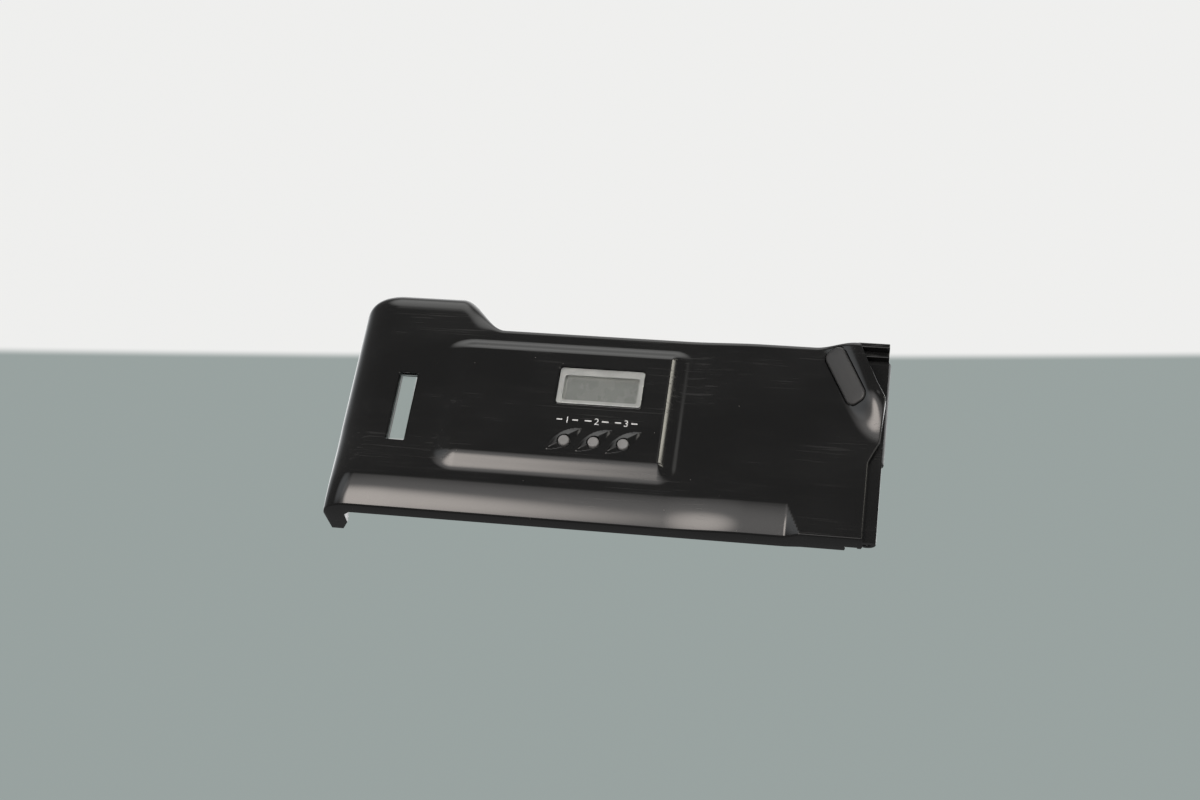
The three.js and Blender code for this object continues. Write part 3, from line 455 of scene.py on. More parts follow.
def piece(name, mesh, body, slot, stands_for=(), finish=None):
    """Puts a finished mesh into the scene, riding on a body."""
    if not mesh.has_custom_normals:
        mesh = with_even_normals(mesh)
    made = placed(name, mesh)
    mesh.materials.clear()
    mesh.materials.append(FINISHES[finish or slot])
    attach(made, body)
    if stands_for:
        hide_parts(*stands_for)
    return made


def softened(node, slot, width=0.12, angle=28):
    """A CAD node's shape with its edges rounded over, standing for that node."""
    shape = bmesh.new()
    shape.from_mesh(frame["nodes"][node].data)
    bmesh.ops.remove_doubles(shape, verts=shape.verts, dist=1e-6)
    bmesh.ops.dissolve_limit(shape, angle_limit=math.radians(1), verts=shape.verts, edges=shape.edges)
    crisp = [e for e in shape.edges if e.is_manifold and e.calc_face_angle() > math.radians(angle)]
    bmesh.ops.bevel(shape, geom=crisp, offset=width * MM, offset_type="OFFSET", segments=2, profile=0.6,
                    affect="EDGES", clamp_overlap=True)
    return piece(f"{node}_finished", finished_mesh(node, shape), BODY_OF[node], slot, [node])


def facing(a, b, depth):
    """Outline in X and Z, depth along Y."""
    return (a, depth, b)


def standing(a, b, depth):
    """Outline in X and Y, depth along Z."""
    return (a, b, depth)


def loft(outline, rings, place=facing):
    """Points and faces of a closed body through one outline at several depths: rings are (depth, grow)."""
    points = []
    for depth, grow in rings:
        points += [place(a, b, depth) for a, b in outline(grow)]
    count = len(points) // len(rings)
    faces = [tuple(range(count)), tuple(range(len(points) - count, len(points)))]
    for ring in range(len(rings) - 1):
        for i in range(count):
            j = (i + 1) % count
            low = ring * count
            faces.append((low + i, low + j, low + count + j, low + count + i))
    return points, faces


def arc(x, z, radius, start, end, steps):
    return [(x + radius * math.cos(t), z + radius * math.sin(t)) for t in np.linspace(start, end, steps + 1)]


def rounded_rectangle(x, z, width, height, radius, steps=8):
    """An outline function: grow moves every side outwards."""
    def outline(grow):
        round_ = max(radius + grow, 0.02)
        across, up = width / 2 + grow - round_, height / 2 + grow - round_
        points = []
        for quarter, (sx, sz) in enumerate(((1, 1), (-1, 1), (-1, -1), (1, -1))):
            start = quarter * math.pi / 2
            points += arc(x + sx * across, z + sz * up, round_, start, start + math.pi / 2, steps)
        return points
    return outline


def circle(x, z, radius, steps=48):
    return lambda grow: arc(x, z, radius + grow, 0, 2 * math.pi * (1 - 1 / steps), steps - 1)


def fixed(points):
    """An outline function for a plain polygon, which doesn't grow."""
    return lambda grow: points


# -------- cover surface
GAP = 0.3
cover_low, cover_high = box_mm("outer_cover")
DOOR_LEFT, DOOR_RIGHT = cover_low[0], cover_high[0]
BOTTOM_Z = cover_low[2]
BUMP_RISE = 11
TOP_Z = cover_high[2] - BUMP_RISE
BUMP_FOOT_X = DOOR_LEFT + 41.5
BUMP_SLOPE_WIDTH = 13.5
FACE_Y = -4.6
WALL = 1.6
SIDE_WALL = 4.9
SIDE_TAPER = 1.2
SIDE_RADIUS = 12.5
SIDE_TIGHTENING, SIDE_TIGHT_FROM_Z = 4.5, -2  # loss of radius downwards, and where it starts
SIDE_INSET_SHARE = 1.25  # both insets over this are taken off the radius on the inside
SIDE_TIP_Y = cover_high[1]
TOP_RADIUS = 1.5
BUMP_RADIUS = 6.5
CORNER_POWER = 2.6
RIM_Y, HINGE_RIM_Y, CORNER_RIM_Y = 1.95, 1.5, 0
HINGE_RISE = 0.9
RISE_FROM, RISE_TO = -50, -30
PANEL_HEIGHT = 1.5
PANEL_LEFT, PANEL_RIGHT = DOOR_LEFT + 27.2, -52.8
PANEL_BOTTOM, PANEL_TOP = BOTTOM_Z + 10.6, TOP_Z - 3.65
PANEL_SLOPE, PANEL_LOW_SLOPE, PANEL_LEFT_SLOPE = 3.7, 6, 8
PANEL_FILLET = 5.9
PANEL_FACE = FACE_Y - PANEL_HEIGHT
SKIRT_HEIGHT = 8.3
SKIRT_DEPTH = 2.1
SKIRT_CREASE = 0.35  # how much of its depth the skirt gains at an even slope
SKIRT_END_X = -19.75
SKIRT_FACET = 3.7
THUMB_RISE = 3.6
THUMB_LOW_Z, THUMB_RUN_UP = TOP_Z - 28.75, 15
THUMB_CREST = (-6.3, 0.47, -0.0045)  # x of the ridge, a polynomial of the way down from the top
THUMB_FOOT = (-16.7, 0.464)  # x of the foot of the slope, in the same way
THUMB_FALL, THUMB_FALL_WIDTH = 0.3, 4
THUMB_CENTRE = (-8.3, TOP_Z - 9.3)
THUMB_LENGTH, THUMB_WIDTH, THUMB_CORNER = 16.6, 5.6, 2
THUMB_OUTLINE = rounded_rectangle(0, 0, THUMB_LENGTH, THUMB_WIDTH, THUMB_CORNER)
THUMB_THICK, THUMB_PROUD = 1.1, 0.5
THUMB_AXIS, THUMB_TILT = math.radians(27.7), math.radians(28)
FLANGE_Y, FLANGE_THICK = -3.9, 1.4
LEDGES = ((-8.3, 1.3, -5.9), (-6, 2.8, -5.4))  # steps at the hinge's top corner: front y, height, left x
PANE_FLANGE = 1.4  # how far the cassette window's pane reaches behind the cover
PIVOT_HOLE, PIN_HOLE = 1.3, 1.6
NOTCH_LEFT, NOTCH_RIGHT, NOTCH_FRONT, NOTCH_HEIGHT = -5.15, -2.25, -0.5, 4.75
LUG_LOW, LUG_HIGH, LUG_RADIUS = BOTTOM_Z + 1.4, BOTTOM_Z + 3.6, 2.2
LEAF_LENGTH, LEAF_WIDTH, LEAF_HEIGHT = 10.5, 4.1, 0.8
LEAF_ANGLE = math.radians(38)
LEAF_LIFT = 0.6  # the leaf's axis passes a little above the button
EDGE_ROUND = 0.4
HINGE_LINE = ((BOTTOM_Z, -1), (TOP_Z - 32.45, -1), (TOP_Z - 26.95, 1.4),
              (TOP_Z - 15.75, DOOR_RIGHT - 0.1), (TOP_Z - 11.25, -0.3), (TOP_Z, -5.4))
OUTER = {"face": 0, "edge": 0, "side": 0}
INNER = {"face": WALL, "edge": WALL, "side": SIDE_WALL}

BUTTONS = ("mode_button", "select_button", "adjust_button")
BUTTON_CENTRES = [centre_of(name)[[0, 2]] for name in BUTTONS]
BUTTON_RADIUS = 1.45


def clamp(t):
    return np.clip(t, 0, 1)


def smooth(t):
    t = clamp(t)
    return t * t * (3 - 2 * t)


def blend(a, b, t):
    return a + (b - a) * t


def hinge_line(z):
    return np.interp(z, [p[0] for p in HINGE_LINE], [p[1] for p in HINGE_LINE])


def bump_share(x):
    return smooth((BUMP_FOOT_X - x) / BUMP_SLOPE_WIDTH)


def left_edge(z):
    return DOOR_LEFT + SIDE_TAPER * smooth(z / BOTTOM_Z)


def side_radius(z, inset):
    tightening = SIDE_TIGHTENING * smooth((z - SIDE_TIGHT_FROM_Z) / (BOTTOM_Z - SIDE_TIGHT_FROM_Z))
    return SIDE_RADIUS - tightening - (inset["face"] + inset["edge"]) / SIDE_INSET_SHARE


def edge_radius(x, inset):
    return np.maximum(blend(TOP_RADIUS, BUMP_RADIUS, bump_share(x)) - inset["edge"], GAP)


def side_share(x, z, inset):
    return clamp(1 - (x - left_edge(z) - inset["side"]) / side_radius(z, inset))


def top_edge(x, inset):
    side = side_share(x, TOP_Z, inset)
    height = (1 - side ** CORNER_POWER) ** (1 / CORNER_POWER)
    flat = TOP_Z + BUMP_RISE * bump_share(x)
    return flat - inset["edge"] - edge_radius(x, inset) * (1 - height)


def edge_roll(x, z, inset):
    share = bump_share(x)
    slope = BUMP_RISE * 1.5 / BUMP_SLOPE_WIDTH * 4 * share * (1 - share)
    below = (TOP_Z + BUMP_RISE * share - inset["edge"] - z) / np.hypot(1, slope)
    side = side_share(x, z, inset)
    top = clamp(1 - below / edge_radius(x, inset))
    both = np.minimum(1, (side ** CORNER_POWER + top ** CORNER_POWER) ** (1 / CORNER_POWER))
    side_weight = side ** 2 / np.maximum(side ** 2 + top ** 2, 1e-9)
    radius = blend(edge_radius(x, inset), side_radius(z, inset), side_weight)
    return radius * (1 - np.sqrt(1 - both ** 2))


def panel_relief(x, z):
    """The panel's slopes run into each other round its corners; only the right edge is crisp."""
    left = clamp((PANEL_LEFT + PANEL_LEFT_SLOPE - x) / PANEL_LEFT_SLOPE)
    right = clamp((x - PANEL_RIGHT) / PANEL_FILLET)
    low = (PANEL_BOTTOM + PANEL_LOW_SLOPE - z) / PANEL_LOW_SLOPE
    end = clamp(np.maximum(low, (z - PANEL_TOP + PANEL_SLOPE) / PANEL_SLOPE))
    down = np.minimum(1, np.sqrt(left ** 2 + right ** 2 + end ** 2))
    crisp = right ** 2 / (right ** 2 + end ** 2 + 1e-9)
    return PANEL_HEIGHT * blend(smooth(1 - down), (1 - down) ** 2, crisp)


def skirt_depth(x, z):
    down = clamp((BOTTOM_Z + SKIRT_HEIGHT - z) / SKIRT_HEIGHT)
    facet = clamp(1 - (x - SKIRT_END_X) / (SKIRT_FACET * down + 0.01))
    return SKIRT_DEPTH * blend(down ** 2, down, SKIRT_CREASE) * facet


def thumb_relief(x, z):
    down = TOP_Z - z
    crest = THUMB_CREST[0] + THUMB_CREST[1] * down + THUMB_CREST[2] * down ** 2
    foot = THUMB_FOOT[0] + THUMB_FOOT[1] * down
    past = np.maximum(0, x - crest) / THUMB_FALL_WIDTH
    rise = THUMB_RISE * smooth((z - THUMB_LOW_Z) / THUMB_RUN_UP)
    return rise * smooth((x - foot) / (crest - foot)) * (1 - THUMB_FALL * past ** 2)


def leaf_relief(x, z):
    """The ridged leaf through each button."""
    total = 0
    for cx, cz in BUTTON_CENTRES:
        dx, dz = x - cx, z - cz - LEAF_LIFT
        along = (dx * math.cos(LEAF_ANGLE) + dz * math.sin(LEAF_ANGLE)) / (LEAF_LENGTH / 2)
        across = dz * math.cos(LEAF_ANGLE) - dx * math.sin(LEAF_ANGLE)
        width = np.maximum(LEAF_WIDTH / 2 * (1 - along ** 2), 1e-3)
        crest = 0.16
        share = np.hypot(across / width, crest)
        taper = np.sqrt(np.maximum(width / (LEAF_WIDTH / 2), 0))
        total = total + LEAF_HEIGHT * taper * clamp((1 - share) / (1 - crest)) * (np.abs(along) < 1)
    return total


def cover_front(x, z, inset=OUTER):
    """Y of the cover's front surface."""
    face = FACE_Y + inset["face"] - HINGE_RISE * smooth((x - RISE_FROM) / (RISE_TO - RISE_FROM))
    skirt = skirt_depth(x, z)
    roll = edge_roll(x, z, inset) * (1 - skirt / side_radius(z, inset))
    front = face - panel_relief(x, z) - thumb_relief(x, z) + skirt + roll
    if inset is OUTER:
        low = clamp(1 - (z - BOTTOM_Z) / EDGE_ROUND)
        right = clamp(1 - (hinge_line(z) - x) / EDGE_ROUND)
        share = np.minimum(1, np.hypot(low, right))
        front = front - leaf_relief(x, z) + EDGE_ROUND * (1 - np.sqrt(1 - share ** 2))
    return front


def paces(*stops):
    """Positions from the first stop to the last; between two stops comes the step length."""
    places = []
    for start, step, end in zip(stops[0::2], stops[1::2], stops[2::2]):
        places += list(np.linspace(start, end, max(1, round((end - start) / step)), endpoint=False))
    return np.array(places + [stops[-1]])


def rolled(steps):
    """Shares from 0 to 1 that are even in angle round a quarter circle."""
    return 1 - np.cos(np.linspace(0, math.pi / 2, steps + 1))


LEAVES_X, LEAVES_Z = (-83, -57), (-9.2, 0.4)  # the area with the leaves, which needs the closest rows
# the net of the cover's surface: columns in the side roll, then in the middle, then towards the hinge
FINE = {
    "roll": 26,
    "middle": paces(BUMP_FOOT_X - 21, 0.9, PANEL_LEFT, 0.4, PANEL_LEFT + PANEL_LEFT_SLOPE, 0.8,
                    BUMP_FOOT_X + 2, 1.0, LEAVES_X[0], 0.23, LEAVES_X[1], 0.6, PANEL_RIGHT, 0.12,
                    PANEL_RIGHT + 0.6, 0.45, PANEL_RIGHT + PANEL_FILLET, 0.9, SKIRT_END_X - 0.5),
    "hinge": np.concatenate([np.linspace(0, 0.97, 46), 0.97 + 0.03 * (1 - rolled(5)[::-1])[1:]]),
    "rows": np.concatenate([BOTTOM_Z + EDGE_ROUND * rolled(5)[:-1],
                            paces(BOTTOM_Z + EDGE_ROUND, 0.45, BOTTOM_Z + SKIRT_HEIGHT, 0.5, PANEL_BOTTOM,
                                  0.3, LEAVES_Z[0], 0.23, LEAVES_Z[1], 0.8, PANEL_TOP - PANEL_SLOPE, 0.3,
                                  PANEL_TOP)]),
    "upper": 1 - rolled(20)[::-1][1:],
}
COARSE = {
    "roll": 10,
    "middle": paces(BUMP_FOOT_X - 21, 2.5, SKIRT_END_X - 0.5),
    "hinge": np.linspace(0, 1, 13),
    "rows": paces(BOTTOM_Z, 2.0, PANEL_TOP),
    "upper": np.array([0.25, 0.5, 0.7, 0.85, 0.95, 1]),
}


def cover_body(inset, back, net):
    """A closed body between the cover's front surface and the plane y = back."""
    count = net["roll"] + len(net["middle"]) + len(net["hinge"])
    turn = 1 - np.cos(math.pi / 2 * np.arange(net["roll"]) / net["roll"])

    def column_places(z):
        """X of every column at the heights z."""
        z = np.broadcast_to(z, count).astype(float)
        low = z[:net["roll"]]
        corner = left_edge(low) + inset["side"] + side_radius(low, inset) * turn
        line = hinge_line(z[-len(net["hinge"]):]) - inset["edge"]
        return np.concatenate([corner, net["middle"], blend(SKIRT_END_X, line, net["hinge"])])

    grid = []
    for row, z in enumerate(net["rows"]):
        height = np.full(count, z + (inset["edge"] if row == 0 else 0))
        grid.append((column_places(z), height))
    top = top_edge(column_places(PANEL_TOP), inset)
    for share in net["upper"]:
        height = blend(PANEL_TOP, top, share)
        grid.append((column_places(np.minimum(height, TOP_Z)), height))
    x = np.array([g[0] for g in grid])
    z = np.array([g[1] for g in grid])
    front = np.minimum(cover_front(x, z, inset), back - 0.05)
    layers = [np.stack([x, y, z], -1) for y in (front, np.full_like(front, back))]
    points = np.concatenate([layer.reshape(-1, 3) for layer in layers])
    rows = len(grid)

    def at(row, column, layer):
        return layer * rows * count + row * count + column

    faces = []
    for row in range(rows - 1):
        for column in range(count - 1):
            faces.append((at(row, column, 0), at(row, column + 1, 0), at(row + 1, column + 1, 0),
                          at(row + 1, column, 0)))
    border = [(0, c) for c in range(count)] + [(r, count - 1) for r in range(1, rows)]
    border += [(rows - 1, c) for c in range(count - 2, -1, -1)] + [(r, 0) for r in range(rows - 2, 0, -1)]
    for (r0, c0), (r1, c1) in zip(border, border[1:] + border[:1]):
        faces.append((at(r0, c0, 0), at(r0, c0, 1), at(r1, c1, 1), at(r1, c1, 0)))
    faces.append(tuple(at(r, c, 1) for r, c in border))
    used = sorted({i for face in faces for i in face})
    number = {old: new for new, old in enumerate(used)}
    return points[used], [tuple(number[i] for i in face) for face in faces]


# -------- outer cover
def carved(base, tool, operation):
    """The base object's mesh after one solid is cut from it or joined to it."""
    other = placed("tool", mesh_of("tool", *tool))
    step = base.modifiers.new("carve", "BOOLEAN")
    step.operation = operation
    step.solver = "MANIFOLD"
    step.object = other
    base.modifiers.update()
    result = evaluated(base)
    base.modifiers.clear()
    base.data = result
    bpy.data.objects.remove(other)


def thumb_place(a, b, depth):
    """Maps the thumb pad's own outline to its place on the slope of the thumb rest."""
    along = Vector((math.sin(THUMB_AXIS), 0, -math.cos(THUMB_AXIS)))
    across = Vector((math.cos(THUMB_AXIS), 0, math.sin(THUMB_AXIS)))
    outward = Vector((0, -math.cos(THUMB_TILT), 0)) - across * math.sin(THUMB_TILT)
    third = outward.cross(along)
    centre = Vector((THUMB_CENTRE[0], float(cover_front(*THUMB_CENTRE)), THUMB_CENTRE[1]))
    return centre + along * a + third * b + outward * depth


def rounded_box(x0, x1, y0, y1, z0, z1, radius=0.25):
    """A block whose front edges, towards -Y, are rounded."""
    outline = rounded_rectangle((x0 + x1) / 2, (z0 + z1) / 2, x1 - x0, z1 - z0, radius, 4)
    return loft(outline, [(y0, -radius), (y0 + 0.3 * radius, -0.3 * radius), (y0 + radius, 0), (y1, 0)])


def cover_additions():
    """Solids that are moulded onto the shell: hinge flange, corner ledges and lower lug."""
    inner = [(x - WALL / 2, z) for z, x in reversed(HINGE_LINE)]
    flange = [*inner, (DOOR_RIGHT - 0.02, BOTTOM_Z), (DOOR_RIGHT - 0.02, TOP_Z)]
    yield loft(fixed(flange), [(FLANGE_Y, 0), (FLANGE_Y + FLANGE_THICK, 0)])
    for front, height, left in LEDGES:
        yield rounded_box(left, DOOR_RIGHT, front, FLANGE_Y + 1, TOP_Z - height, TOP_Z)
    yield loft(circle(0, 0, LUG_RADIUS), [(LUG_LOW, 0), (LUG_HIGH - 0.3, 0), (LUG_HIGH, -0.3)], standing)
    yield rounded_box(-LUG_RADIUS, LUG_RADIUS, FLANGE_Y + 0.4, 0, LUG_LOW, LUG_HIGH, 0.1)


def cover_cuts():
    """Solids that are cut away: window seats, button holes, thumb pad's bed and room for the hinge."""
    x, z, width, height, _, back = seen_from_front("display_window")
    yield loft(rounded_rectangle(x, z, width + 2 * GAP, height + 2 * GAP, 0.9),
               [(PANEL_FACE - 1, 1.25), (PANEL_FACE + 0.25, 0), (back + GAP, 0)])
    yield loft(rounded_rectangle(x, z, width - 2, height - 2, 0.6), [(PANEL_FACE - 3, 0), (0, 0)])
    x, z, width, height, _, _ = seen_from_front("cassette_window")
    pane = rounded_rectangle(x, z, width - 2 * PANE_FLANGE + 2 * GAP, height - 2 * PANE_FLANGE + 2 * GAP,
                             0.4)
    yield loft(pane, [(FACE_Y - 1, 1.25), (FACE_Y + 0.25, 0), (3, 0)])
    for cx, cz in BUTTON_CENTRES:
        yield loft(circle(cx, cz, BUTTON_RADIUS + GAP), [(-9, 0), (0, 0)])
    bed = THUMB_PROUD - THUMB_THICK - GAP
    yield loft(THUMB_OUTLINE, [(bed, GAP), (4, GAP)], thumb_place)
    (_, _, low), (radius, _, high) = box_mm("hinge_barrel")
    yield loft(circle(0, 0, radius + GAP), [(low - GAP, 0), (high + GAP, 0)], standing)
    yield loft(circle(0, 0, PIVOT_HOLE, 24), [(BOTTOM_Z - 5, 0), (BOTTOM_Z + 5, 0)], standing)
    yield loft(circle(0, 0, PIN_HOLE, 24), [(high - 1, 0), (TOP_Z + 5, 0)], standing)
    notch = [(NOTCH_LEFT, NOTCH_FRONT), (NOTCH_RIGHT, NOTCH_FRONT), (NOTCH_RIGHT, 9), (NOTCH_LEFT, 9)]
    yield loft(fixed(notch), [(BOTTOM_Z - 5, 0), (BOTTOM_Z + NOTCH_HEIGHT, 0)], standing)


def behind_rim():
    """Everything behind the rim, with the latch wall left standing."""
    wall = DOOR_LEFT + SIDE_WALL
    far = SIDE_TIP_Y + 5
    rim = [(wall - 0.6, far), (wall - 0.6, SIDE_TIP_Y), (wall + 1.5, 8.2), (wall + 1.8, 3.6),
           (wall + 3.4, RIM_Y), (SKIRT_END_X, RIM_Y), (SKIRT_END_X + SKIRT_FACET, HINGE_RIM_Y),
           (-5.4, HINGE_RIM_Y), (-5, CORNER_RIM_Y), (30, CORNER_RIM_Y), (30, far)]
    return loft(fixed(rim), [(-60, 0), (60, 0)], standing)


def values_of(items, name, width=3, kind=float):
    """One property of all vertices, corners or faces of a mesh."""
    values = np.zeros(len(items) * width, kind)
    items.foreach_get(name, values)
    return values.reshape(-1, width) if width > 1 else values


def polish(mesh):
    """Gives the faces on the cover's front surface the exact normals of that surface."""
    points = values_of(mesh.vertices, "co") / MM
    vertex = values_of(mesh.loops, "vertex_index", 1, int)
    centre = values_of(mesh.polygons, "center") / MM
    flat = values_of(mesh.polygons, "normal")
    total = values_of(mesh.polygons, "loop_total", 1, int)
    face = np.repeat(np.arange(len(total)), total)

    def exact(p):
        step = 0.01
        x, z = p[:, 0], p[:, 2]
        across = (cover_front(x + step, z) - cover_front(x - step, z)) / (2 * step)
        up = (cover_front(x, z + step) - cover_front(x, z - step)) / (2 * step)
        normal = np.stack([across, -np.ones_like(x), up], -1)
        return normal / np.linalg.norm(normal, axis=1, keepdims=True)

    closest, alike = 0.06, 0.8
    gap = np.abs(centre[:, 1] - cover_front(centre[:, 0], centre[:, 2]))
    normal = exact(centre)
    on_front = (gap * np.abs(normal[:, 1]) < closest) & ((normal * flat).sum(1) > alike)
    smooth_normal = exact(points[vertex])
    agrees = (smooth_normal * flat[face]).sum(1) > alike
    smooth_normal[~(on_front[face] & agrees)] = 0
    mesh.normals_split_custom_set([Vector(n) for n in smooth_normal])


def outer_cover():
    base = placed("cover_stock", mesh_of("outer_cover", *cover_body(OUTER, SIDE_TIP_Y, FINE)))
    carved(base, cover_body(INNER, SIDE_TIP_Y + 3, COARSE), "DIFFERENCE")
    carved(base, behind_rim(), "DIFFERENCE")
    for tool in cover_additions():
        carved(base, tool, "UNION")
    for tool in cover_cuts():
        carved(base, tool, "DIFFERENCE")
    mesh = base.data
    bpy.data.objects.remove(base)
    mesh.shade_smooth()
    mesh.set_sharp_from_angle(angle=math.radians(32))
    polish(mesh)
    piece("cover_moulding", mesh, "door", "gloss_cover", ["outer_cover"])


# -------- display, cassette window and buttons
def display():
    x, z, width, height, front, back = seen_from_front("display_window")
    rings = [(back, -0.1), (back - 0.1, 0), (front + 0.3, 0), (front + 0.12, -0.06), (front + 0.03, -0.2),
             (front, -0.4)]
    pane = mesh_of("display_pane", *loft(rounded_rectangle(x, z, width, height, 0.8), rings))
    window = piece("display_pane", pane, "door", "clear_window", ["display_window"])
    window.visible_shadow = False
    ring_front, ring_back = back + 0.08, back + 0.2
    outer = rounded_rectangle(x, z, width - 0.1, height - 0.1, 0.7)
    inner = rounded_rectangle(x + 0.1, z - 0.3, width - 2.5, height - 3.2, 0.7)
    points = []
    for depth in (ring_front, ring_back):
        for outline in (outer(0), inner(0)):
            points += [facing(a, b, depth) for a, b in outline]
    count = len(points) // 4
    faces = []
    for i in range(count):
        j = (i + 1) % count
        rings = [(ring * count + i, ring * count + j) for ring in range(4)]
        for a, b in ((0, 1), (1, 3), (3, 2), (2, 0)):
            faces.append((rings[a][0], rings[a][1], rings[b][1], rings[b][0]))
    mask = mesh_of("display_mask", points, faces)
    piece("display_mask", mask, "door", "clear_window", finish="window_print")
    softened("lcd_panel", "display_glass", 0.1)


def cassette_window():
    made = softened("cassette_window", "clear_window", 0.25)
    made.visible_shadow = False
    softened("cassette_window_seal", "seal_foam", 0.1)


def spun(x, z, profile, segments=64):
    """A turned body about an axis along Y: the profile is (radius, y), from the front to the back."""
    return loft(circle(x, z, 0, segments), [(y, radius) for radius, y in profile])


def buttons():
    for name in BUTTONS:
        x, z, width, _, front, back = seen_from_front(name)
        flange, step = width / 2, back - 0.6
        profile = [(0.02, front + 0.10), (0.5, front + 0.085), (0.95, front + 0.03), (1.12, front),
                   (1.26, front + 0.03), (1.38, front + 0.12), (BUTTON_RADIUS, front + 0.32),
                   (BUTTON_RADIUS, step), (flange - 0.08, step), (flange, step + 0.08),
                   (flange, back - 0.08), (flange - 0.08, back), (0.02, back)]
        cap = mesh_of(name, *spun(x, z, profile))
        piece(f"{name}_cap", cap, BODY_OF[name], "button_grey", [name])


def thumb_pad():
    low = THUMB_PROUD - THUMB_THICK
    crown = ((-0.55, 0), (-0.30, -0.05), (-0.14, -0.16), (-0.04, -0.34), (0, -0.6), (0.02, -1.0),
             (0.05, -1.6), (0.06, -2.2))
    rings = [(low, -0.2), (low + 0.2, 0)] + [(THUMB_PROUD + rise, grow) for rise, grow in crown]
    pad = mesh_of("thumb_grip", *loft(THUMB_OUTLINE, rings, thumb_place))
    piece("thumb_grip", pad, "door", "thumb_rubber", ["thumb_pad"])


# -------- printed legend
LEGEND_HEIGHT = 1.9
LEGEND_LIFT = 5.15  # baseline above the button's centre
LEGEND_THICK = 0.03
LEGEND_WIDTHS = (5.6, 6.2, 5.8)
LEGEND_GAP, LEGEND_BAR = 1.3, 0.34  # from the button's middle to a bar, and the bar's height
FONT_SHARE = 1.38  # font size over numeral height


def legend():
    """A plain numeral between two bars over each button, printed on the panel."""
    for index, ((cx, cz), width) in enumerate(zip(BUTTON_CENTRES, LEGEND_WIDTHS)):
        letters = bpy.data.curves.new(f"legend_{index + 1}", "FONT")
        letters.body = str(index + 1)
        letters.size = LEGEND_HEIGHT * FONT_SHARE * MM
        letters.align_x = "CENTER"
        letters.extrude = LEGEND_THICK / 2 * MM
        letters.resolution_u = 6
        maker = placed("letters", letters)
        mesh = evaluated(maker)
        bpy.data.objects.remove(maker)
        mesh.transform(Matrix.Rotation(math.pi / 2, 4, "X"))
        base = Vector((cx, PANEL_FACE - LEGEND_THICK / 2, cz + LEGEND_LIFT)) * MM
        mesh.transform(Matrix.Translation(base))
        shape = bmesh.new()
        shape.from_mesh(mesh)
        for side in (-1, 1):
            near, far = cx + side * LEGEND_GAP, cx + side * width / 2
            bar = rounded_rectangle((near + far) / 2, cz + LEGEND_LIFT + LEGEND_HEIGHT / 2, abs(far - near),
                                    LEGEND_BAR, 0.1, 3)
            add_body(shape, *loft(bar, [(PANEL_FACE - LEGEND_THICK, 0), (PANEL_FACE, 0)]))
        printed = finished_mesh("legend", shape)
        piece(f"legend_{index + 1}", printed, "door", "button_grey", finish="white_ink")


# -------- repeating items by geometry nodes
def new_tree(name, **sockets):
    """A geometry node tree with named inputs; returns the tree, its input node and its output node."""
    tree = bpy.data.node_groups.new(name, "GeometryNodeTree")
    tree.interface.new_socket(name="Geometry", in_out="OUTPUT", socket_type="NodeSocketGeometry")
    for socket, kind in {**sockets, "Finish": "Material"}.items():
        tree.interface.new_socket(name=socket, in_out="INPUT", socket_type=f"NodeSocket{kind}")
    return tree, tree.nodes.new("NodeGroupInput"), tree.nodes.new("NodeGroupOutput")


def close_tree(tree, given, out, last, output="Geometry"):
    """Ends a tree in Realize Instances and Set Material."""
    real = tree.nodes.new("GeometryNodeRealizeInstances")
    painted = tree.nodes.new("GeometryNodeSetMaterial")
    join(tree, (last, output, real, "Geometry"), (real, "Geometry", painted, "Geometry"),
         (given, "Finish", painted, "Material"), (painted, "Geometry", out, "Geometry"))
    return tree


def scatter_tree():
    """Puts one item on every vertex of the object's own mesh."""
    tree, given, out = new_tree("item_on_points", Points="Geometry", Item="Object")
    info = tree.nodes.new("GeometryNodeObjectInfo")
    place = tree.nodes.new("GeometryNodeInstanceOnPoints")
    join(tree, (given, "Item", info, "Object"), (given, "Points", place, "Points"),
         (info, "Geometry", place, "Instance"))
    return close_tree(tree, given, out, place, "Instances")


def rim_tree():
    """Puts an item on even places round a circle about Y, each turned to face outwards."""
    tree, given, out = new_tree("item_round_rim", Count="Int", Radius="Float", Centre="Vector", Item="Object")
    ring = tree.nodes.new("GeometryNodeMeshCircle")
    info = tree.nodes.new("GeometryNodeObjectInfo")
    spot = tree.nodes.new("GeometryNodeInputPosition")
    align = tree.nodes.new("FunctionNodeAlignEulerToVector")
    align.axis = "X"
    place = tree.nodes.new("GeometryNodeInstanceOnPoints")
    tilt = tree.nodes.new("GeometryNodeTransform")
    tilt.inputs["Rotation"].default_value = (math.pi / 2, 0, 0)
    join(tree, (given, "Count", ring, "Vertices"), (given, "Radius", ring, "Radius"),
         (given, "Item", info, "Object"), (ring, "Mesh", place, "Points"),
         (info, "Geometry", place, "Instance"), (spot, "Position", align, "Vector"),
         (align, "Rotation", place, "Rotation"), (place, "Instances", tilt, "Geometry"),
         (given, "Centre", tilt, "Translation"))
    return close_tree(tree, given, out, tilt)


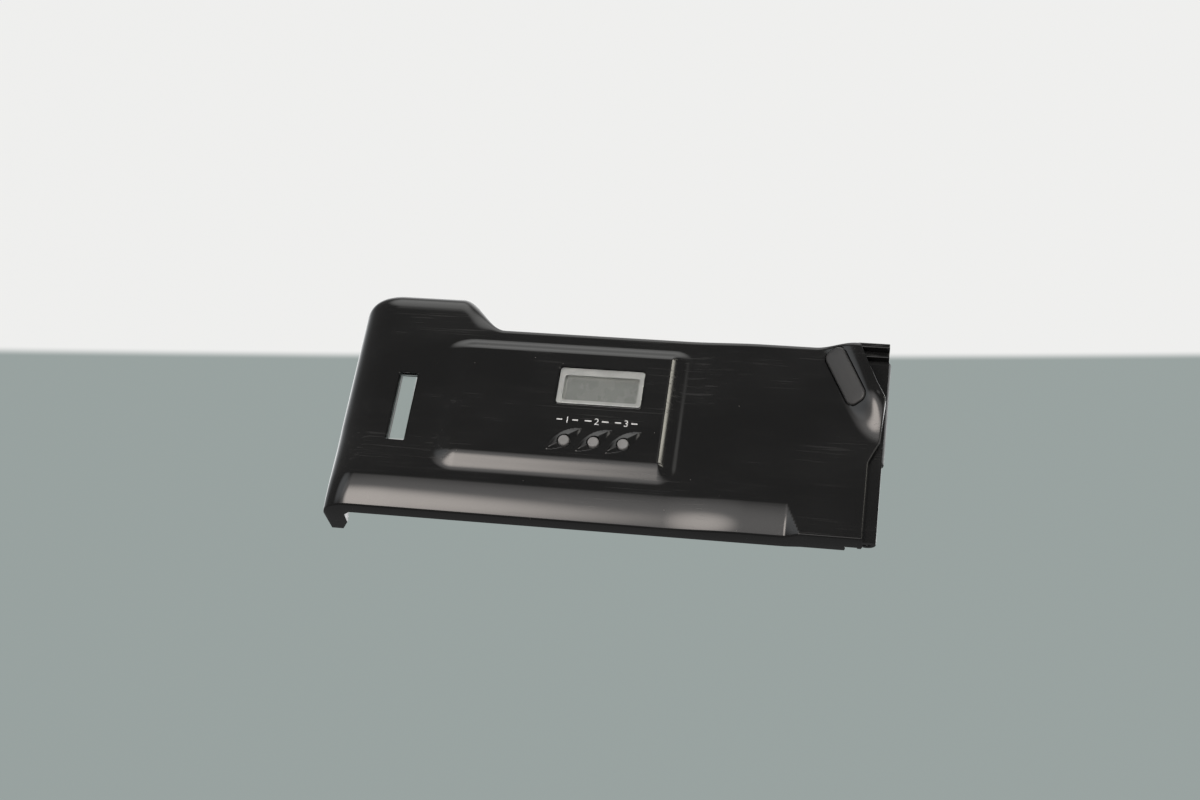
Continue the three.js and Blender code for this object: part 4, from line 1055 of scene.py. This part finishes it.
def coil_tree():
    """A round wire wound into a helix about Z."""
    tree, given, out = new_tree("wire_coil", Turns="Float", Radius="Float", Height="Float", Wire="Float",
                                Foot="Vector")
    spiral = tree.nodes.new("GeometryNodeCurveSpiral")
    spiral.inputs["Resolution"].default_value = 36
    section = tree.nodes.new("GeometryNodeCurvePrimitiveCircle")
    section.inputs["Resolution"].default_value = 12
    sweep = tree.nodes.new("GeometryNodeCurveToMesh")
    sweep.inputs["Fill Caps"].default_value = True
    move = tree.nodes.new("GeometryNodeTransform")
    join(tree, (given, "Turns", spiral, "Rotations"), (given, "Radius", spiral, "Start Radius"),
         (given, "Radius", spiral, "End Radius"), (given, "Height", spiral, "Height"),
         (given, "Wire", section, "Radius"), (spiral, "Curve", sweep, "Curve"),
         (section, "Curve", sweep, "Profile Curve"), (sweep, "Mesh", move, "Geometry"),
         (given, "Foot", move, "Translation"))
    return close_tree(tree, given, out, move)


TREES = {"scatter": scatter_tree(), "rim": rim_tree(), "coil": coil_tree()}


def grown(name, tree, body, slot, stands_for=(), spots=(), item=None, **values):
    """A piece made by one of the trees, as a plain mesh. Spots are in millimetres; an item is a mesh."""
    points = bpy.data.meshes.new("points")
    points.from_pydata([Vector(s) * MM for s in spots], [], [])
    holder = placed("holder", points)
    values["Finish"] = FINISHES[slot]
    if item:
        values["Item"] = placed("item", item)
    modifier = holder.modifiers.new("grow", "NODES")
    modifier.node_group = TREES[tree]
    for socket in TREES[tree].interface.items_tree:
        if socket.in_out == "INPUT" and socket.name in values:
            modifier[socket.identifier] = values[socket.name]
    mesh = evaluated(holder)
    holder.modifiers.clear()
    bpy.data.objects.remove(holder)
    if item:
        bpy.data.objects.remove(values["Item"])
    shape = bmesh.new()
    shape.from_mesh(mesh)
    return piece(name, finished_mesh(name, shape), body, slot, stands_for)


def screw_mesh(head, height, shank, length):
    """A pan-head screw with a cross recess and a thread; its seat is at y = 0, its head towards +Y."""
    profile = [(head, 0), (head, 0.25 * height), (0.9 * head, 0.7 * height), (0.62 * head, 0.95 * height),
               (0.3 * head, height), (0.02, height)]
    thread = []
    pitch = 0.35
    for turn in range(int(length / pitch)):
        y = -0.1 - turn * pitch
        thread += [(shank - 0.14, y), (shank, y - pitch / 2)]
    profile = [(0.02, -length), (shank - 0.2, -length), *reversed(thread), (shank - 0.14, 0), *profile]
    body = placed("screw", mesh_of("screw", *spun(0, 0, profile, 28)))
    recess = [(height - 0.4, -0.1), (height + 1, 0)]
    for width, depth in ((2.2, 0.5), (0.5, 2.2)):
        carved(body, loft(rounded_rectangle(0, 0, width, depth, 0.1, 2), recess), "DIFFERENCE")
    mesh = body.data
    bpy.data.objects.remove(body)
    return mesh


def row_of(stem, count):
    """The names of a numbered row of CAD nodes, and the lowest and highest Y of the first."""
    names = [f"{stem}_{i + 1}" for i in range(count)]
    low, high = box_mm(names[0])
    return names, low[1], high[1]


def scattered(name, nodes, slot, y, item):
    """One piece for all the nodes: the item at each node's X and Z and at one Y."""
    spots = [(centre_of(node)[0], y, centre_of(node)[2]) for node in nodes]
    grown(name, "scatter", "door", slot, nodes, spots, item)


def repeated_items():
    screws, shank_end, head_top = row_of("plate_screw", 6)
    head_height = 0.7
    seat = head_top - head_height
    screw = screw_mesh(1.8, head_height, 0.8, seat - shank_end)
    scattered("plate_screws", screws, "dark_steel", seat, screw)
    pins, foot, top = row_of("plate_guide_pin", 4)
    tall = top - foot
    profile = [(0.02, 0), (0.8, 0), (0.8, tall - 0.6), (1.42, tall - 0.6), (1.5, tall - 0.5),
               (1.5, tall - 0.25), (1.3, tall - 0.06), (0.9, tall), (0.02, tall)]
    pin = mesh_of("guide_pin", *spun(0, 0, profile, 32))
    scattered("plate_guide_pins", pins, "dark_steel", foot, pin)
    contacts, foot, top = row_of("sync_contact", 3)
    tall = top - foot
    profile = [(0.02, 0), (0.6, 0), (0.6, tall - 0.5), (0.54, tall - 0.25), (0.38, tall - 0.07),
               (0.02, tall)]
    contact = mesh_of("contact", *spun(0, 0, profile, 24))
    scattered("sync_contacts", contacts, "contact_gold", foot, contact)
    right, high_y, _ = box_mm("battery_cover")[1]
    centre = centre_of("battery_cover")
    bar = rounded_rectangle(0, 0, 0.3, 0.55, 0.12, 2)
    rib = mesh_of("rib", *loft(bar, [(-0.3, 0), (0.25, 0), (0.3, -0.08)], standing))
    grown("battery_cover_ribs", "rim", "battery_lid", "matt_plastic", (), (), rib, Count=60,
          Radius=float(right - centre[0]) * MM, Centre=Vector((centre[0], high_y - 0.45, centre[2])) * MM)
    low_z, high_z = (corner[2] for corner in box_mm("hinge_spring"))
    wire = 0.2
    coil = grown("hinge_coil", "coil", "door", "bright_steel", ["hinge_spring"], Turns=8.0,
                 Radius=0.7 * MM, Height=float(high_z - low_z - 2 * wire) * MM, Wire=wire * MM,
                 Foot=Vector((0, 0, low_z + wire)) * MM)
    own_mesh(coil)


# -------- carried-over pieces with rounded edges
SOFTENED = {
    "matt_plastic": {"lcd_holder": 0.15, "imprint_head": 0.15, "battery_cover": 0.15, "film_roller": 0.25,
                     "contact_block": 0.2},
    "keypad_rubber": {"elastomer_strip_upper": 0.1, "elastomer_strip_lower": 0.1, "button_mat": 0.1},
    "board": {"circuit_board": 0.08},
    "chip": {"timer_chip": 0.12},
    "bright_steel": {"quartz_crystal": 0.2, "battery_cell": 0.3, "battery_contact_minus": 0.08,
                     "battery_contact_plus": 0.08, "pressure_spring_left": 0.05,
                     "pressure_spring_right": 0.05, "roller_shaft": 0.12, "cassette_spring": 0.08,
                     "hinge_pin": 0.3, "lower_pivot_pin": 0.3},
    "dark_steel": {"roller_bracket_upper": 0.1, "roller_bracket_lower": 0.1, "latch_plate": 0.12,
                   "latch_hook_lower": 0.15, "latch_hook_upper": 0.15, "hinge_barrel": 0.15,
                   "release_tab": 0.15},
    "black_plate": {"inner_plate": 0.12, "pressure_plate": 0.2},
    "seal_foam": {"latch_seal_strip": 0.3, "hinge_seal_strip": 0.3},
}


def carried_over():
    for slot, nodes in SOFTENED.items():
        for node, width in nodes.items():
            made = softened(node, slot, width)
            if node.startswith("pressure_spring"):
                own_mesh(made)


up = add_camera()
add_studio_light()
add_room(up)
outer_cover()
display()
cassette_window()
buttons()
thumb_pad()
legend()
repeated_items()
carried_over()

SCENE.view_settings.view_transform = "Standard"
